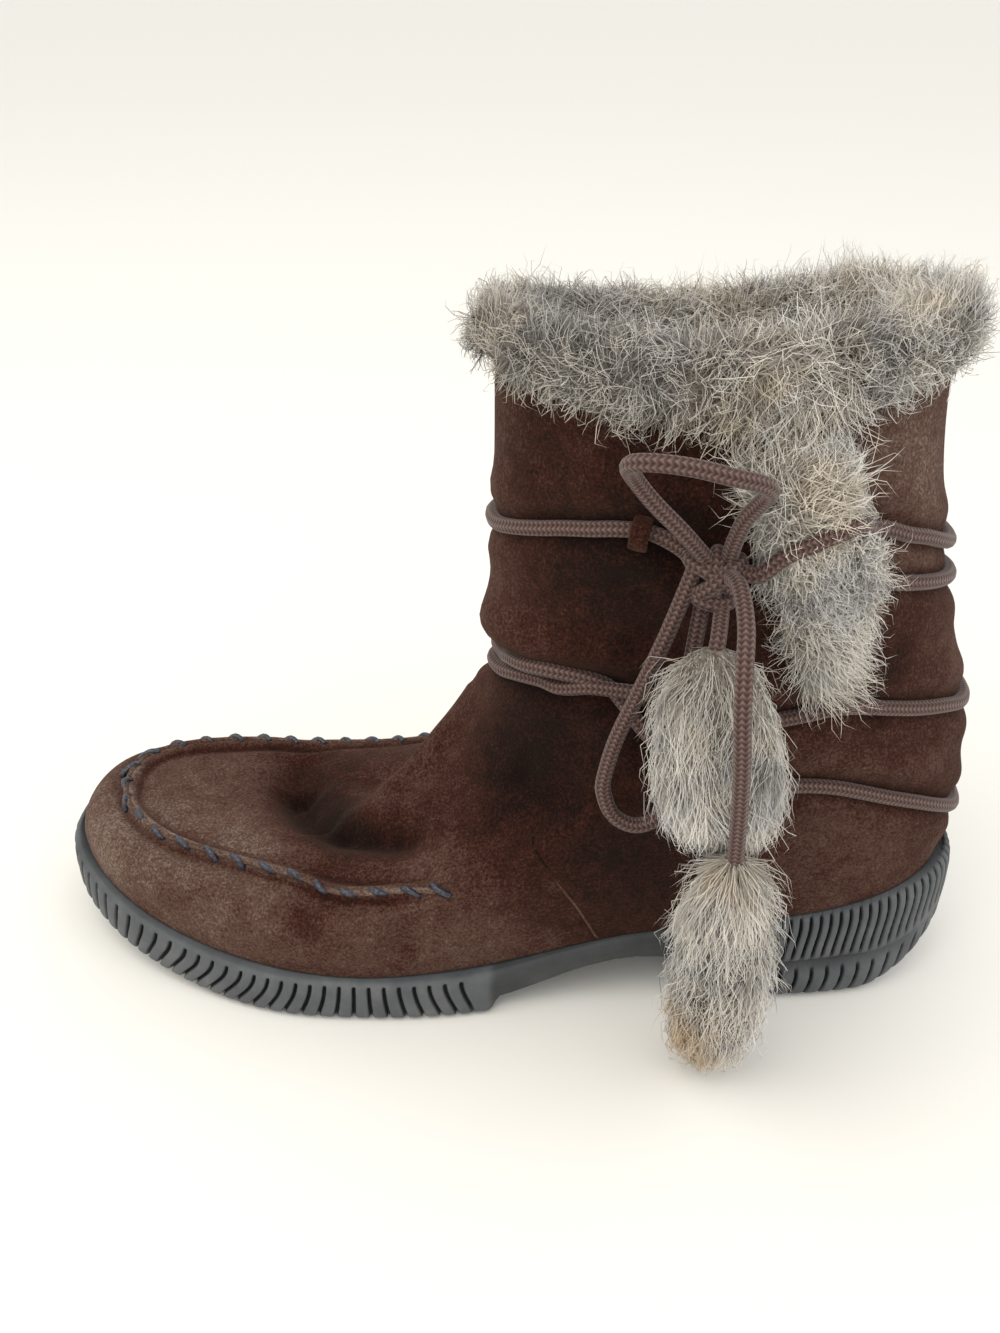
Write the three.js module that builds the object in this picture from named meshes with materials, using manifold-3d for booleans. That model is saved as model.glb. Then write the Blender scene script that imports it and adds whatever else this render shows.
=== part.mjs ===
// A left ankle boot in soft brown suede: a ribbed rubber sole, a moccasin toe, a fur cuff and placket,
// and a lace wound round the ankle and tied at the outer side, with a fur tassel on each end.
// Millimetres, +Z up, +X towards the toe, +Y towards the outer side.
import * as THREE from "three";
import { mergeVertices } from "three/addons/utils/BufferGeometryUtils.js";
import Module from "manifold-3d";

const wasm = await Module();
wasm.setup();

// Driving dimensions
const SOLE_LENGTH = 277;
const SOLE_ROUND = 2.6;
const WALL = 2;
const GAP = 0.3;
const MERGE = 1e-4;
const SEAT_GAP = 0.6;
const INSOLE_THICKNESS = 4;
const INSOLE_CLEARANCE = 0.5;
const SEAM_HEIGHT = 1.4;
const UPPER_COLUMNS = 40;
const SOLE_COLUMNS = 52;
const NEAREST_TURN = 0.03;
const STEP_STOPS = [2, -1];
const ARCH_FRONT = 139;
const HEEL_BREAST = 68;
const WAIST_STEP = 2;
const WAIST_LEAD = { before: 4, after: 14, front: 1.5, end: 0.5 };
const CORD = 4.2;
const CORD_SIDES = 8;
const WRAP_SIDES = 6;
const FEWEST_STEPS = 3;
const CORD_STEP = 12.6;
const ROUTE_STEP = 9;
const AXIS_X = 80;
const MEASURE_TURN = 0.015;
const MEASURE_LEVEL = 0.05;

// The sole's plan: fullness each side of the middle line, and how far that line bends to the outer side
const SOLE_PLAN = [
  { at: 0, outer: 46, inner: 45, bend: 0 },
  { at: 0.16, outer: 41, inner: 39.5, bend: 0 },
  { at: 0.28, outer: 38.5, inner: 34, bend: 0.5 },
  { at: 0.42, outer: 40.5, inner: 30, bend: 1 },
  { at: 0.55, outer: 48, inner: 38, bend: 1 },
  { at: 0.64, outer: 51, inner: 43.5, bend: 1 },
  { at: 0.74, outer: 53, inner: 48, bend: 0 },
  { at: 0.88, outer: 49.5, inner: 50, bend: -3 },
  { at: 1, outer: 46, inner: 46, bend: -8 },
];

// The sole from the side: heights of the tread and of the seat along the length
const SOLE_SIDE = [
  { x: 0, tread: 23, seat: 43 },
  { x: 6, tread: 14, seat: 41 },
  { x: 14, tread: 6, seat: 38.5 },
  { x: 26, tread: 0, seat: 35 },
  { x: 45, tread: 0, seat: 31.5 },
  { x: 75, tread: 0, seat: 28 },
  { x: 100, tread: 0, seat: 25 },
  { x: 120, tread: 0, seat: 20 },
  { x: 138, tread: 0, seat: 16.2 },
  { x: 165, tread: 0, seat: 14.6 },
  { x: 196, tread: 0, seat: 15 },
  { x: 222, tread: 0.6, seat: 16.6 },
  { x: 250, tread: 5, seat: 20.5 },
  { x: 268, tread: 10.5, seat: 26 },
  { x: 277, tread: 15, seat: 30 },
];

// The sole's side from the tread up: share of the height, step in from the plan, share of the waist's step
const SOLE_RINGS = [
  { rise: 0, inset: 3.6, waist: 0 },
  { rise: 0.14, inset: 0.4, waist: 1 },
  { rise: 0.86, inset: 0.2, waist: 0.4 },
  { rise: 1, inset: 2.4, waist: 0 },
];

// The crescent groove between the heel's two bands, in section
const CRESCENT = {
  low: 0.35, middle: 0.41, high: 0.47, depth: 2.6, outside: 4, clear: 0.4,
  from: 8, full: 34, fade: 16,
};

// How far the grooves lean back for each millimetre they rise, along the boot
const FOREFOOT_LEAN = [
  { x: 145, slope: -0.3 },
  { x: 154, slope: -0.3 },
  { x: 177, slope: 0 },
  { x: 195, slope: 0.33 },
  { x: 214, slope: 0.6 },
  { x: 231, slope: 0.6 },
  { x: 247, slope: 0.36 },
  { x: 260, slope: 0.12 },
];
const HEEL_UPPER_LEAN = [{ x: 0, slope: 0.12 }, { x: HEEL_BREAST, slope: 0.12 }];
const HEEL_LOWER_LEAN = [{ x: 0, slope: 0.4 }, { x: HEEL_BREAST, slope: 0.4 }];

// Ribbed bands round the sole: from low to high share of its height, spacing, lean, groove width and depths
const RIB_BANDS = [
  { from: 145, to: 400, low: -0.1, high: 0.8, pitch: 5.2, lean: FOREFOOT_LEAN,
    width: 1.3, footDepth: 4, depth: 1.7 },
  { from: -100, to: 62, low: 0.46, high: 0.93, pitch: 3.9, lean: HEEL_UPPER_LEAN,
    width: 1.1, footDepth: 1.7, depth: 1.9 },
  { from: -100, to: 60, low: -0.1, high: 0.36, pitch: 4.8, lean: HEEL_LOWER_LEAN,
    width: 1.3, footDepth: 4, depth: 1.6 },
];
const RIB_OUTSIDE = 3;
const RIB_SEARCH = 2400;

// Bars of the tread: grooves across it
const TREAD_GROOVES = [36, 49, 154, 168, 182, 196, 210];
const TREAD_GROOVE = { width: 3, depth: 2.6, edge: 11 };

// The arch between heel and forefoot, seen from the side
const ARCH = [
  { x: HEEL_BREAST, z: -1 },
  { x: HEEL_BREAST + 2, z: 8 },
  { x: 74, z: 10.9 },
  { x: 78, z: 13 },
  { x: 84, z: 15.2 },
  { x: 90, z: 16.6 },
  { x: 96, z: 17 },
  { x: 102, z: 16.4 },
  { x: 108.5, z: 14.6 },
  { x: 115, z: 12.2 },
  { x: 121, z: 9.6 },
  { x: 127, z: 7.3 },
  { x: 132, z: 5.6 },
  { x: ARCH_FRONT - 3, z: 4.4 },
  { x: ARCH_FRONT, z: -1 },
];
const ARCH_WIDTH = 140;

// The upper's rings from the sole to the collar. Each leans from its back to its front point;
// heel, waist, ball and toe are its fullness, round squares its ends off (2 is an ellipse),
// turn is how far it keeps the foot's left-right curve.
const UPPER_RINGS = [
  { back: 4.5, front: 273, zBack: 43, zWaist: 24, zBall: 15, zFront: 29,
    heel: 41, waist: 36, ball: 49.5, toe: 43, round: 2.6, turn: 1 },
  { back: 2.6, front: 274, zBack: 54, zWaist: 37, zBall: 25, zFront: 36,
    heel: 42.5, waist: 38, ball: 51.5, toe: 44.5, round: 2.6, turn: 1 },
  { back: 2.4, front: 267, zBack: 67, zWaist: 53, zBall: 36, zFront: 43,
    heel: 42.5, waist: 38, ball: 50, toe: 45, round: 2.6, turn: 1 },
  { back: 3.2, front: 256, zBack: 79, zWaist: 66, zBall: 40.6, zFront: 42.4,
    heel: 42, waist: 38.5, ball: 42, toe: 38.5, round: 2.45, turn: 0.9 },
  { back: 4.5, front: 225, zBack: 88, zWaist: 79, zBall: 47, zFront: 42,
    heel: 41.5, waist: 38.5, ball: 38.5, toe: 35, round: 2.4, turn: 0.75 },
  { back: 6.5, front: 195, zBack: 97, zWaist: 90, zBall: 59, zFront: 40.5,
    heel: 40.5, waist: 38.5, ball: 33, toe: 25, round: 2.25, turn: 0.55 },
  { back: 9, front: 169, zBack: 106, zWaist: 102, zBall: 78, zFront: 48.5,
    heel: 39.5, waist: 38, ball: 31, toe: 22, round: 2.1, turn: 0.35 },
  { back: 12, front: 153, zBack: 115, zWaist: 112, zBall: 97, zFront: 66,
    heel: 38.5, waist: 37.5, ball: 31, toe: 23, round: 2.05, turn: 0.2 },
  { back: 16, front: 143, zBack: 125, zWaist: 122, zBall: 111, zFront: 86,
    heel: 37.5, waist: 37, ball: 32.5, toe: 27, round: 2.05, turn: 0.1 },
  { back: 19, front: 139.5, zBack: 136, zWaist: 134, zBall: 123, zFront: 99,
    heel: 36.5, waist: 36.5, ball: 34.5, toe: 32, round: 2.1, turn: 0 },
  { back: 20, front: 143, zBack: 145, zWaist: 143, zBall: 134, zFront: 112,
    heel: 36, waist: 36.5, ball: 36, toe: 35, round: 2.15, turn: 0 },
  { back: 23, front: 142, zBack: 158, zWaist: 156, zBall: 149, zFront: 136,
    heel: 36, waist: 36, ball: 36, toe: 36, round: 2.15, turn: 0 },
  { back: 26, front: 141.5, zBack: 178, zWaist: 174, zBall: 169, zFront: 164,
    heel: 36, waist: 36, ball: 36, toe: 36, round: 2.15, turn: 0 },
  { back: 26.5, front: 142, zBack: 200, zWaist: 192, zBall: 190.5, zFront: 196,
    heel: 36, waist: 36, ball: 36, toe: 36, round: 2.15, turn: 0 },
];
const SEAM_RING = 3;
const SEAM_REACH = { from: 0.5, full: 0.6 };
const RING_STATIONS = { waist: 0.38, ball: 0.68 };
const UPPER_LEVELS = [0, 1, 2, 2.86, 3, 3.14, 4, 5, 6, 7, 8, 9, 10, 11, 12, 13];

// The fur cuff in section: distance out from the collar's face and up from its rim
const CUFF_SECTION = [
  { out: 0.8, up: -6.5 },
  { out: 3.6, up: -8.5 },
  { out: 6.2, up: -4.5 },
  { out: 6.6, up: 0.5 },
  { out: 4.5, up: 5 },
  { out: -1, up: 6.5 },
  { out: -6, up: 3.5 },
  { out: -7, up: -5 },
  { out: -5, up: -12 },
  { out: -2.9, up: -11 },
  { out: -2.9, up: 0.5 },
  { out: 0.8, up: 0.5 },
];
const CUFF_COLUMNS = 30;
const CUFF_LOCKS = 12;
const CUFF_BELOW_RIM = 0.2;
const CUFF_LEAN_SPAN = 0.5;
const CUFF_LOCK_WIDTH = 6;
const CUFF_LOCK_TURN = 0.12;
const CUFF_CREST_FROM = 0.5;
const CUFF_CREST = { outer: 1.7, back: 0.6 };
const LOCK_SIDES = 4;
const HANGING_LOCK = { root: { out: 3.6, up: -4.5 }, tip: { out: 5.2, up: -12 } };
const STANDING_LOCK = { root: { out: 3, up: 0 }, tip: { out: 9, up: 5 } };

// The fur placket down the outer side: a row for each height
const PLACKET_ROWS = [
  { z: 178, rear: 50.5, front: 83, thick: 5.5 },
  { z: 170, rear: 49, front: 81, thick: 7 },
  { z: 161, rear: 46, front: 79, thick: 8 },
  { z: 150, rear: 43.5, front: 76, thick: 8 },
  { z: 139, rear: 44, front: 71, thick: 7.5 },
  { z: 129, rear: 46.5, front: 66, thick: 7 },
  { z: 119, rear: 48, front: 62, thick: 6 },
  { z: 112, rear: 50, front: 59, thick: 4 },
];
const PLACKET_ACROSS = [0, 0.3, 0.7, 1];
const PLACKET_EDGE = 0.55;
const PLACKET_CORD_ROWS = 6;

// The lace round the ankle: bearing from the toe towards the outer side, height, and rise off the suede
const LACE_TOP = [
  { bearing: -264, z: 150, off: 6.5 },
  { bearing: -247, z: 156, off: 8 },
  { bearing: -234, z: 160, off: 6.5 },
  { bearing: -222, z: 156, off: 1 },
  { bearing: -203, z: 149, off: 0 },
  { bearing: -180, z: 141, off: 0 },
  { bearing: -135, z: 142, off: 0 },
  { bearing: -90, z: 141, off: 0 },
  { bearing: -45, z: 139, off: 0 },
  { bearing: 0, z: 143, off: 0 },
  { bearing: 31, z: 151, off: 0 },
  { bearing: 55, z: 155, off: 0 },
  { bearing: 71, z: 150, off: 1 },
];
const LACE_LONG = [
  { bearing: 100, z: 142, off: 0 },
  { bearing: 112, z: 141, off: 0 },
  { bearing: 126, z: 141, off: 0 },
  { bearing: 140, z: 141, off: 0 },
  { bearing: 157, z: 137, off: 0 },
  { bearing: 180, z: 131, off: 0 },
  { bearing: 225, z: 126, off: 0 },
  { bearing: 270, z: 118, off: 0 },
  { bearing: 315, z: 111, off: 0 },
  { bearing: 360, z: 103, off: 0 },
  { bearing: 375, z: 107, off: 0 },
  { bearing: 393, z: 110, off: 0 },
  { bearing: 405, z: 105, off: 0 },
  { bearing: 417, z: 98, off: 0 },
  { bearing: 435, z: 88, off: 0 },
  { bearing: 455, z: 82, off: 0 },
  { bearing: 478, z: 81, off: 0 },
  { bearing: 497, z: 79, off: 0 },
  { bearing: 515, z: 71, off: 0 },
  { bearing: 540, z: 58, off: 0 },
  { bearing: 585, z: 66, off: 0 },
  { bearing: 630, z: 84, off: 0 },
  { bearing: 652, z: 91, off: 0 },
  { bearing: 672, z: 93.2, off: 0 },
  { bearing: 692, z: 93.6, off: 0 },
  { bearing: 712, z: 96.5, off: 0 },
];
const LACE_RING_FRONT = [
  { bearing: -85, z: 97, off: 0 },
  { bearing: -45, z: 98, off: 0 },
  { bearing: 0, z: 97, off: 0 },
  { bearing: 18, z: 101, off: 0.5 },
  { bearing: 33, z: 105, off: 2 },
  { bearing: 45, z: 107.5, off: 2 },
  { bearing: 57, z: 107, off: 0.5 },
  { bearing: 75, z: 105, off: 0 },
  { bearing: 95, z: 102, off: 0 },
];
const LACE_RING_BACK = [
  { bearing: 92, z: 102.3, off: 0 },
  { bearing: 118, z: 103, off: 0 },
  { bearing: 137, z: 105, off: 0 },
  { bearing: 160, z: 99, off: 0 },
  { bearing: 180, z: 93, off: 0 },
  { bearing: 225, z: 94, off: 0 },
  { bearing: 278, z: 97.2, off: 0 },
];
const LACE_CLEARANCE = 1.05;

// The suede keeper over the top strand of the lace
const KEEPER = { bearing: 56, length: 5, inside: 3.1, outside: 4.5, reach: 4, bends: 6 };

// The tied lace, point by point: the knot, two loops and two ends
const KNOT = { x: 85, y: 41.5, z: 146, wide: 5, deep: 4.6, tall: 6, around: 12, rings: 8 };
const BOW_LOOP_UPPER = [
  [88, 43.4, 151.8], [94.5, 48, 160.5], [102, 51, 169], [107, 54, 176], [109, 59, 181], [107, 64, 184],
  [101, 67, 185], [94, 67, 184], [87, 66, 182], [80, 62, 179], [77, 57, 175], [78, 53, 171],
  [80.5, 49, 165], [82, 45, 157], [82.4, 43, 152.3],
];
const BOW_LOOP_LOWER = [
  [91.9, 43.6, 144.6], [96.5, 46, 131], [102, 46, 115], [107, 46.5, 101], [109.5, 47, 89], [107, 47.5, 79],
  [100.5, 48, 74], [94, 47.5, 80], [91.5, 46.5, 92], [91, 45.5, 107], [89.5, 45, 124], [87.9, 43.4, 140.2],
];
const LACE_END_SHORT = [[83.1, 44.6, 139.7], [84, 50, 139], [85, 56.4, 137]];
const LACE_END_LONG = [
  [82.6, 46.3, 148.8], [81, 55, 150], [80.5, 66, 146.5], [81, 74, 140], [81, 78.8, 130],
  [80, 80, 118], [79, 79, 104], [78.2, 76.9, 88.4],
];

// The fur tassels: axis from the cord down, half-widths along and across the boot, locks
const TASSELS = [
  { name: "tassel_upper", top: [86, 60, 136], tip: [80, 62, 84], wide: 18, deep: 12.5, locks: 9, turn: 1 },
  { name: "tassel_lower", top: [78, 76.5, 87.5], tip: [77, 64, 8],
    wide: 14, deep: 11.5, locks: 9, turn: 5 },
];
const TASSEL_PROFILE = [
  { at: 0, full: 0.2 },
  { at: 0.06, full: 0.5 },
  { at: 0.2, full: 0.8 },
  { at: 0.45, full: 0.98 },
  { at: 0.7, full: 1 },
  { at: 0.88, full: 0.78 },
  { at: 1, full: 0.3 },
];
const TASSEL_SIDES = 12;
const TASSEL_FURROW = 0.88;
const TASSEL_LOCK = {
  turn: 2.4, from: 0.35, spread: 0.55, stagger: 0.37, rooted: 0.7, length: 0.16, flare: 1.12, width: 7,
};

function curveThrough(rows, along, column) {
  const at = rows.map((row) => row[along]);
  const value = rows.map((row) => row[column]);
  const last = at.length - 1;
  const slope = at.map((_, i) => {
    const a = Math.max(i - 1, 0);
    const b = Math.min(i + 1, last);
    return (value[b] - value[a]) / (at[b] - at[a]);
  });
  return (t) => {
    const clamped = Math.min(Math.max(t, at[0]), at[last]);
    let k = 0;
    while (k < last - 1 && clamped > at[k + 1]) {
      k += 1;
    }
    const span = at[k + 1] - at[k];
    const f = (clamped - at[k]) / span;
    const rise = 3 * f * f - 2 * f * f * f;
    const leave = f * (1 - f) * (1 - f) * span * slope[k];
    const arrive = f * f * (f - 1) * span * slope[k + 1];
    return value[k] * (1 - rise) + value[k + 1] * rise + leave + arrive;
  };
}

const planOuter = curveThrough(SOLE_PLAN, "at", "outer");
const planInner = curveThrough(SOLE_PLAN, "at", "inner");
const planBend = curveThrough(SOLE_PLAN, "at", "bend");
const treadCurve = curveThrough(SOLE_SIDE, "x", "tread");
const seatHeight = curveThrough(SOLE_SIDE, "x", "seat");

// Half-width of a ring with squared-off ends, 1 at its middle, signed by side
function ringSide(angle, round) {
  const reach = Math.abs(Math.cos(angle));
  return Math.sign(Math.sin(angle)) * Math.max(1 - reach ** round, 0) ** (1 / round);
}

function treadHeight(x) {
  return Math.max(treadCurve(x), 0);
}

function planPoint(angle) {
  const along = (1 + Math.cos(angle)) / 2;
  const full = Math.sin(angle) > 0 ? planOuter(along) : planInner(along);
  return new THREE.Vector2(along * SOLE_LENGTH, ringSide(angle, SOLE_ROUND) * full + planBend(along));
}

function planAlong(angle) {
  return planPoint(angle + MEASURE_TURN).sub(planPoint(angle - MEASURE_TURN)).normalize();
}

function planInset(angle, inset) {
  const along = planAlong(angle);
  return planPoint(angle).add(new THREE.Vector2(-along.y, along.x).multiplyScalar(inset));
}

function turnAngles(count) {
  return Array.from({ length: count }, (_, i) => (2 * Math.PI * i) / count);
}

// A closed skin through rings of equal count; an open run of rings gets a ruled cap at each end
function skin(rings, joined) {
  const count = rings[0].length;
  const points = rings.flat();
  const faces = [];
  const bands = joined ? rings.length : rings.length - 1;
  for (let r = 0; r < bands; r += 1) {
    const low = r * count;
    const high = ((r + 1) % rings.length) * count;
    for (let i = 0; i < count; i += 1) {
      const next = (i + 1) % count;
      faces.push(low + i, low + next, high + next, low + i, high + next, high + i);
    }
  }
  if (!joined) {
    const top = (rings.length - 1) * count;
    for (let i = 0; i < count / 2; i += 1) {
      const mirror = (count - i) % count;
      const before = count - i - 1;
      if (i > 0) {
        faces.push(i, mirror, before, top + i, top + before, top + mirror);
      }
      if (before !== i + 1) {
        faces.push(i, before, i + 1, top + i, top + i + 1, top + before);
      }
    }
  }
  const geometry = new THREE.BufferGeometry();
  const numbers = points.flatMap((p) => p.toArray());
  geometry.setAttribute("position", new THREE.Float32BufferAttribute(numbers, 3));
  geometry.setIndex(faces);
  return geometry;
}

function toSolid(geometry) {
  const bare = new THREE.BufferGeometry();
  bare.setAttribute("position", geometry.getAttribute("position").clone());
  if (geometry.index) {
    bare.setIndex(geometry.index.clone());
  }
  const merged = mergeVertices(bare, MERGE);
  return new wasm.Manifold(new wasm.Mesh({
    numProp: 3,
    vertProperties: new Float32Array(merged.getAttribute("position").array),
    triVerts: new Uint32Array(merged.index.array),
  }));
}

function toGeometry(solid) {
  const mesh = solid.getMesh();
  const geometry = new THREE.BufferGeometry();
  geometry.setAttribute("position", new THREE.BufferAttribute(new Float32Array(mesh.vertProperties), 3));
  geometry.setIndex(new THREE.BufferAttribute(new Uint32Array(mesh.triVerts), 1));
  return geometry;
}

function mirroredAngles(count, stops) {
  const half = Array.from({ length: count / 2 + 1 }, (_, i) => (2 * Math.PI * i) / count);
  const turns = stops.map((x) => Math.acos((2 * x) / SOLE_LENGTH - 1));
  const kept = half.filter((angle) => turns.every((turn) => Math.abs(turn - angle) > NEAREST_TURN));
  const near = [...kept, ...turns].sort((a, b) => a - b);
  const far = near.slice(1, -1).reverse().map((angle) => 2 * Math.PI - angle);
  return [...near, ...far];
}

function waistStep(x) {
  const { smoothstep } = THREE.MathUtils;
  const behind = smoothstep(x, HEEL_BREAST - WAIST_LEAD.before, HEEL_BREAST + WAIST_LEAD.after);
  const ahead = 1 - smoothstep(x, ARCH_FRONT - WAIST_LEAD.front, ARCH_FRONT + WAIST_LEAD.end);
  return WAIST_STEP * behind * ahead;
}

function crescentDepth(x) {
  const back = THREE.MathUtils.smoothstep(x, CRESCENT.from, CRESCENT.full);
  const ahead = 1 - THREE.MathUtils.smoothstep(x, HEEL_BREAST, HEEL_BREAST + CRESCENT.fade);
  return CRESCENT.depth * back * ahead;
}

// A ring round the whole plan that bites into the side at the heel only
function crescentCutter() {
  const angles = turnAngles(SOLE_COLUMNS);
  const ring = (rise, inset) => angles.map((angle) => {
    const p = planInset(angle, inset(planPoint(angle).x));
    const low = treadHeight(p.x);
    return new THREE.Vector3(p.x, p.y, low + (seatHeight(p.x) - low) * rise);
  });
  const outside = () => -CRESCENT.outside;
  const bite = (x) => crescentDepth(x) - CRESCENT.clear * (CRESCENT.depth - crescentDepth(x));
  const rings = [ring(CRESCENT.low, outside), ring(CRESCENT.high, outside), ring(CRESCENT.middle, bite)];
  return toSolid(skin(rings, true));
}

function soleBody() {
  const angles = mirroredAngles(SOLE_COLUMNS, STEP_STOPS.map((back) => ARCH_FRONT - back));
  const rings = SOLE_RINGS.map((ring) => angles.map((angle) => {
    const x = planPoint(angle).x;
    const p = planInset(angle, ring.inset + ring.waist * waistStep(x));
    const low = treadHeight(p.x);
    return new THREE.Vector3(p.x, p.y, low + (seatHeight(p.x) - low) * ring.rise);
  }));
  return toSolid(skin(rings, false));
}

// A leaning groove cut into the side of the sole at one place round its plan
function ribCutter(angle, band) {
  const edge = planPoint(angle);
  const ahead = planAlong(angle);
  const low = treadHeight(edge.x);
  const tall = seatHeight(edge.x) - low;
  const foot = low + tall * band.low;
  const head = low + tall * band.high;
  const profile = new THREE.Shape([
    new THREE.Vector2(RIB_OUTSIDE, foot),
    new THREE.Vector2(RIB_OUTSIDE, head),
    new THREE.Vector2(-band.depth, head),
    new THREE.Vector2(-band.footDepth, foot),
  ]);
  const slot = new THREE.ExtrudeGeometry(profile, { depth: band.width, bevelEnabled: false });
  const lean = Math.sign(Math.sin(angle)) * curveThrough(band.lean, "x", "slope")(edge.x);
  const middle = (foot + head) / 2;
  slot.translate(0, -middle, -band.width / 2);
  slot.applyMatrix4(new THREE.Matrix4().makeBasis(
    new THREE.Vector3(ahead.y, -ahead.x, 0),
    new THREE.Vector3(ahead.x * lean, ahead.y * lean, 1),
    new THREE.Vector3(-ahead.x, -ahead.y, 0),
  ));
  slot.translate(edge.x, edge.y, middle);
  return toSolid(slot);
}

function ribAngles(band) {
  const fine = turnAngles(RIB_SEARCH);
  const kept = [];
  let walked = 0;
  fine.forEach((angle, i) => {
    walked += planPoint(angle).distanceTo(planPoint(fine[(i + 1) % fine.length]));
    const x = planPoint(angle).x;
    if (walked >= band.pitch) {
      walked -= band.pitch;
      if (x > band.from && x < band.to) {
        kept.push(angle);
      }
    }
  });
  return kept;
}

function archCutter() {
  const outline = new THREE.Shape(ARCH.map((row) => new THREE.Vector2(row.x, row.z)));
  const bridge = new THREE.ExtrudeGeometry(outline, { depth: ARCH_WIDTH, bevelEnabled: false });
  bridge.rotateX(Math.PI / 2);
  bridge.translate(0, ARCH_WIDTH / 2, 0);
  return toSolid(bridge);
}

function treadCutter(x) {
  const angle = Math.acos((2 * x) / SOLE_LENGTH - 1);
  const outer = planPoint(angle).y - TREAD_GROOVE.edge;
  const inner = planPoint(-angle).y + TREAD_GROOVE.edge;
  const low = treadHeight(x);
  const bar = new THREE.BoxGeometry(TREAD_GROOVE.width, outer - inner, TREAD_GROOVE.depth * 2);
  bar.translate(x, (outer + inner) / 2, low);
  return toSolid(bar);
}

function outsoleGeometry() {
  let sole = soleBody().subtract(archCutter()).subtract(crescentCutter());
  for (const band of RIB_BANDS) {
    for (const angle of ribAngles(band)) {
      sole = sole.subtract(ribCutter(angle, band));
    }
  }
  for (const x of TREAD_GROOVES) {
    sole = sole.subtract(treadCutter(x));
  }
  return toGeometry(sole);
}

function upperRow(k, angle) {
  const ring = UPPER_RINGS[k];
  const along = (1 + Math.cos(angle)) / 2;
  const x = ring.back + (ring.front - ring.back) * along;
  const stations = [
    { at: 0, z: ring.zBack, full: ring.heel },
    { at: RING_STATIONS.waist, z: ring.zWaist, full: ring.waist },
    { at: RING_STATIONS.ball, z: ring.zBall, full: ring.ball },
    { at: 1, z: ring.zFront, full: ring.toe },
  ];
  const side = ringSide(angle, ring.round);
  const full = curveThrough(stations, "at", "full")(along);
  const share = side < 0 ? 1 + ring.turn * (planInner(along) / planOuter(along) - 1) : 1;
  const z = k === 0 ? seatHeight(x) + SEAT_GAP : curveThrough(stations, "at", "z")(along);
  return new THREE.Vector3(x, side * full * share + ring.turn * planBend(along), z);
}

function upperPoint(level, angle) {
  const k = Math.min(Math.floor(level), UPPER_RINGS.length - 2);
  const rows = [k - 1, k, k + 1, k + 2].map((i) => Math.min(Math.max(i, 0), UPPER_RINGS.length - 1));
  const [before, from, to, after] = rows.map((i) => upperRow(i, angle));
  const f = level - k;
  const rise = 3 * f * f - 2 * f * f * f;
  return from.clone().multiplyScalar(1 - rise)
    .addScaledVector(to, rise)
    .addScaledVector(to.clone().sub(before), 0.5 * f * (1 - f) * (1 - f))
    .addScaledVector(after.clone().sub(from), 0.5 * f * f * (f - 1));
}

function upperNormal(level, angle) {
  const top = UPPER_RINGS.length - 1;
  const high = Math.min(level + MEASURE_LEVEL, top);
  const low = Math.max(level - MEASURE_LEVEL, 0);
  const across = upperPoint(level, angle + MEASURE_TURN).sub(upperPoint(level, angle - MEASURE_TURN));
  const up = upperPoint(high, angle).sub(upperPoint(low, angle));
  return across.cross(up).normalize();
}

function upperOffset(level, angle, offset) {
  return upperPoint(level, angle).addScaledVector(upperNormal(level, angle), offset);
}

function seamLift(level, angle) {
  const along = (1 + Math.cos(angle)) / 2;
  const reach = THREE.MathUtils.smoothstep(along, SEAM_REACH.from, SEAM_REACH.full);
  return level === SEAM_RING ? SEAM_HEIGHT * reach : 0;
}

function upperGeometry() {
  const angles = turnAngles(UPPER_COLUMNS);
  const outer = UPPER_LEVELS.map((level) => angles.map((angle) => {
    const lift = seamLift(level, angle);
    return upperOffset(level, angle, lift);
  }));
  const inner = UPPER_LEVELS.map((level) => angles.map((angle) => {
    const p = upperOffset(level, angle, -WALL);
    return level === 0 ? p.setZ(seatHeight(p.x) + SEAT_GAP) : p;
  }));
  return skin([...outer, ...inner.reverse()], true);
}

function insoleGeometry() {
  const inset = WALL + INSOLE_CLEARANCE;
  const angles = turnAngles(UPPER_COLUMNS);
  const rings = [SEAT_GAP, SEAT_GAP + INSOLE_THICKNESS].map((lift) => angles.map((angle) => {
    const p = upperOffset(0, angle, -inset);
    return p.setZ(seatHeight(p.x) + lift);
  }));
  return skin(rings, false);
}

const upperFace = new THREE.Mesh(upperGeometry(), new THREE.MeshBasicMaterial({ side: THREE.DoubleSide }));

function farthestHit(from, direction) {
  const hits = new THREE.Raycaster(from, direction).intersectObject(upperFace);
  const hit = hits[hits.length - 1];
  return { point: hit.point, normal: hit.face.normal.clone() };
}

function shaftFace(bearing, z) {
  const turn = THREE.MathUtils.degToRad(bearing);
  return farthestHit(new THREE.Vector3(AXIS_X, 0, z), new THREE.Vector3(Math.cos(turn), Math.sin(turn), 0));
}

function outerFace(x, z) {
  return farthestHit(new THREE.Vector3(x, 0, z), new THREE.Vector3(0, 1, 0));
}

function cordSection(diameter, sides) {
  const corners = Array.from({ length: sides }, (_, i) => {
    const turn = (2 * Math.PI * i) / sides;
    return new THREE.Vector2(Math.cos(turn), Math.sin(turn)).multiplyScalar(diameter / 2);
  });
  return new THREE.Shape(corners);
}

function cordAlong(points, diameter, sides) {
  const path = new THREE.CatmullRomCurve3(points);
  const steps = Math.max(FEWEST_STEPS, Math.round(path.getLength() / CORD_STEP));
  const section = cordSection(diameter, sides);
  return new THREE.ExtrudeGeometry(section, { steps, bevelEnabled: false, extrudePath: path });
}

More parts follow.
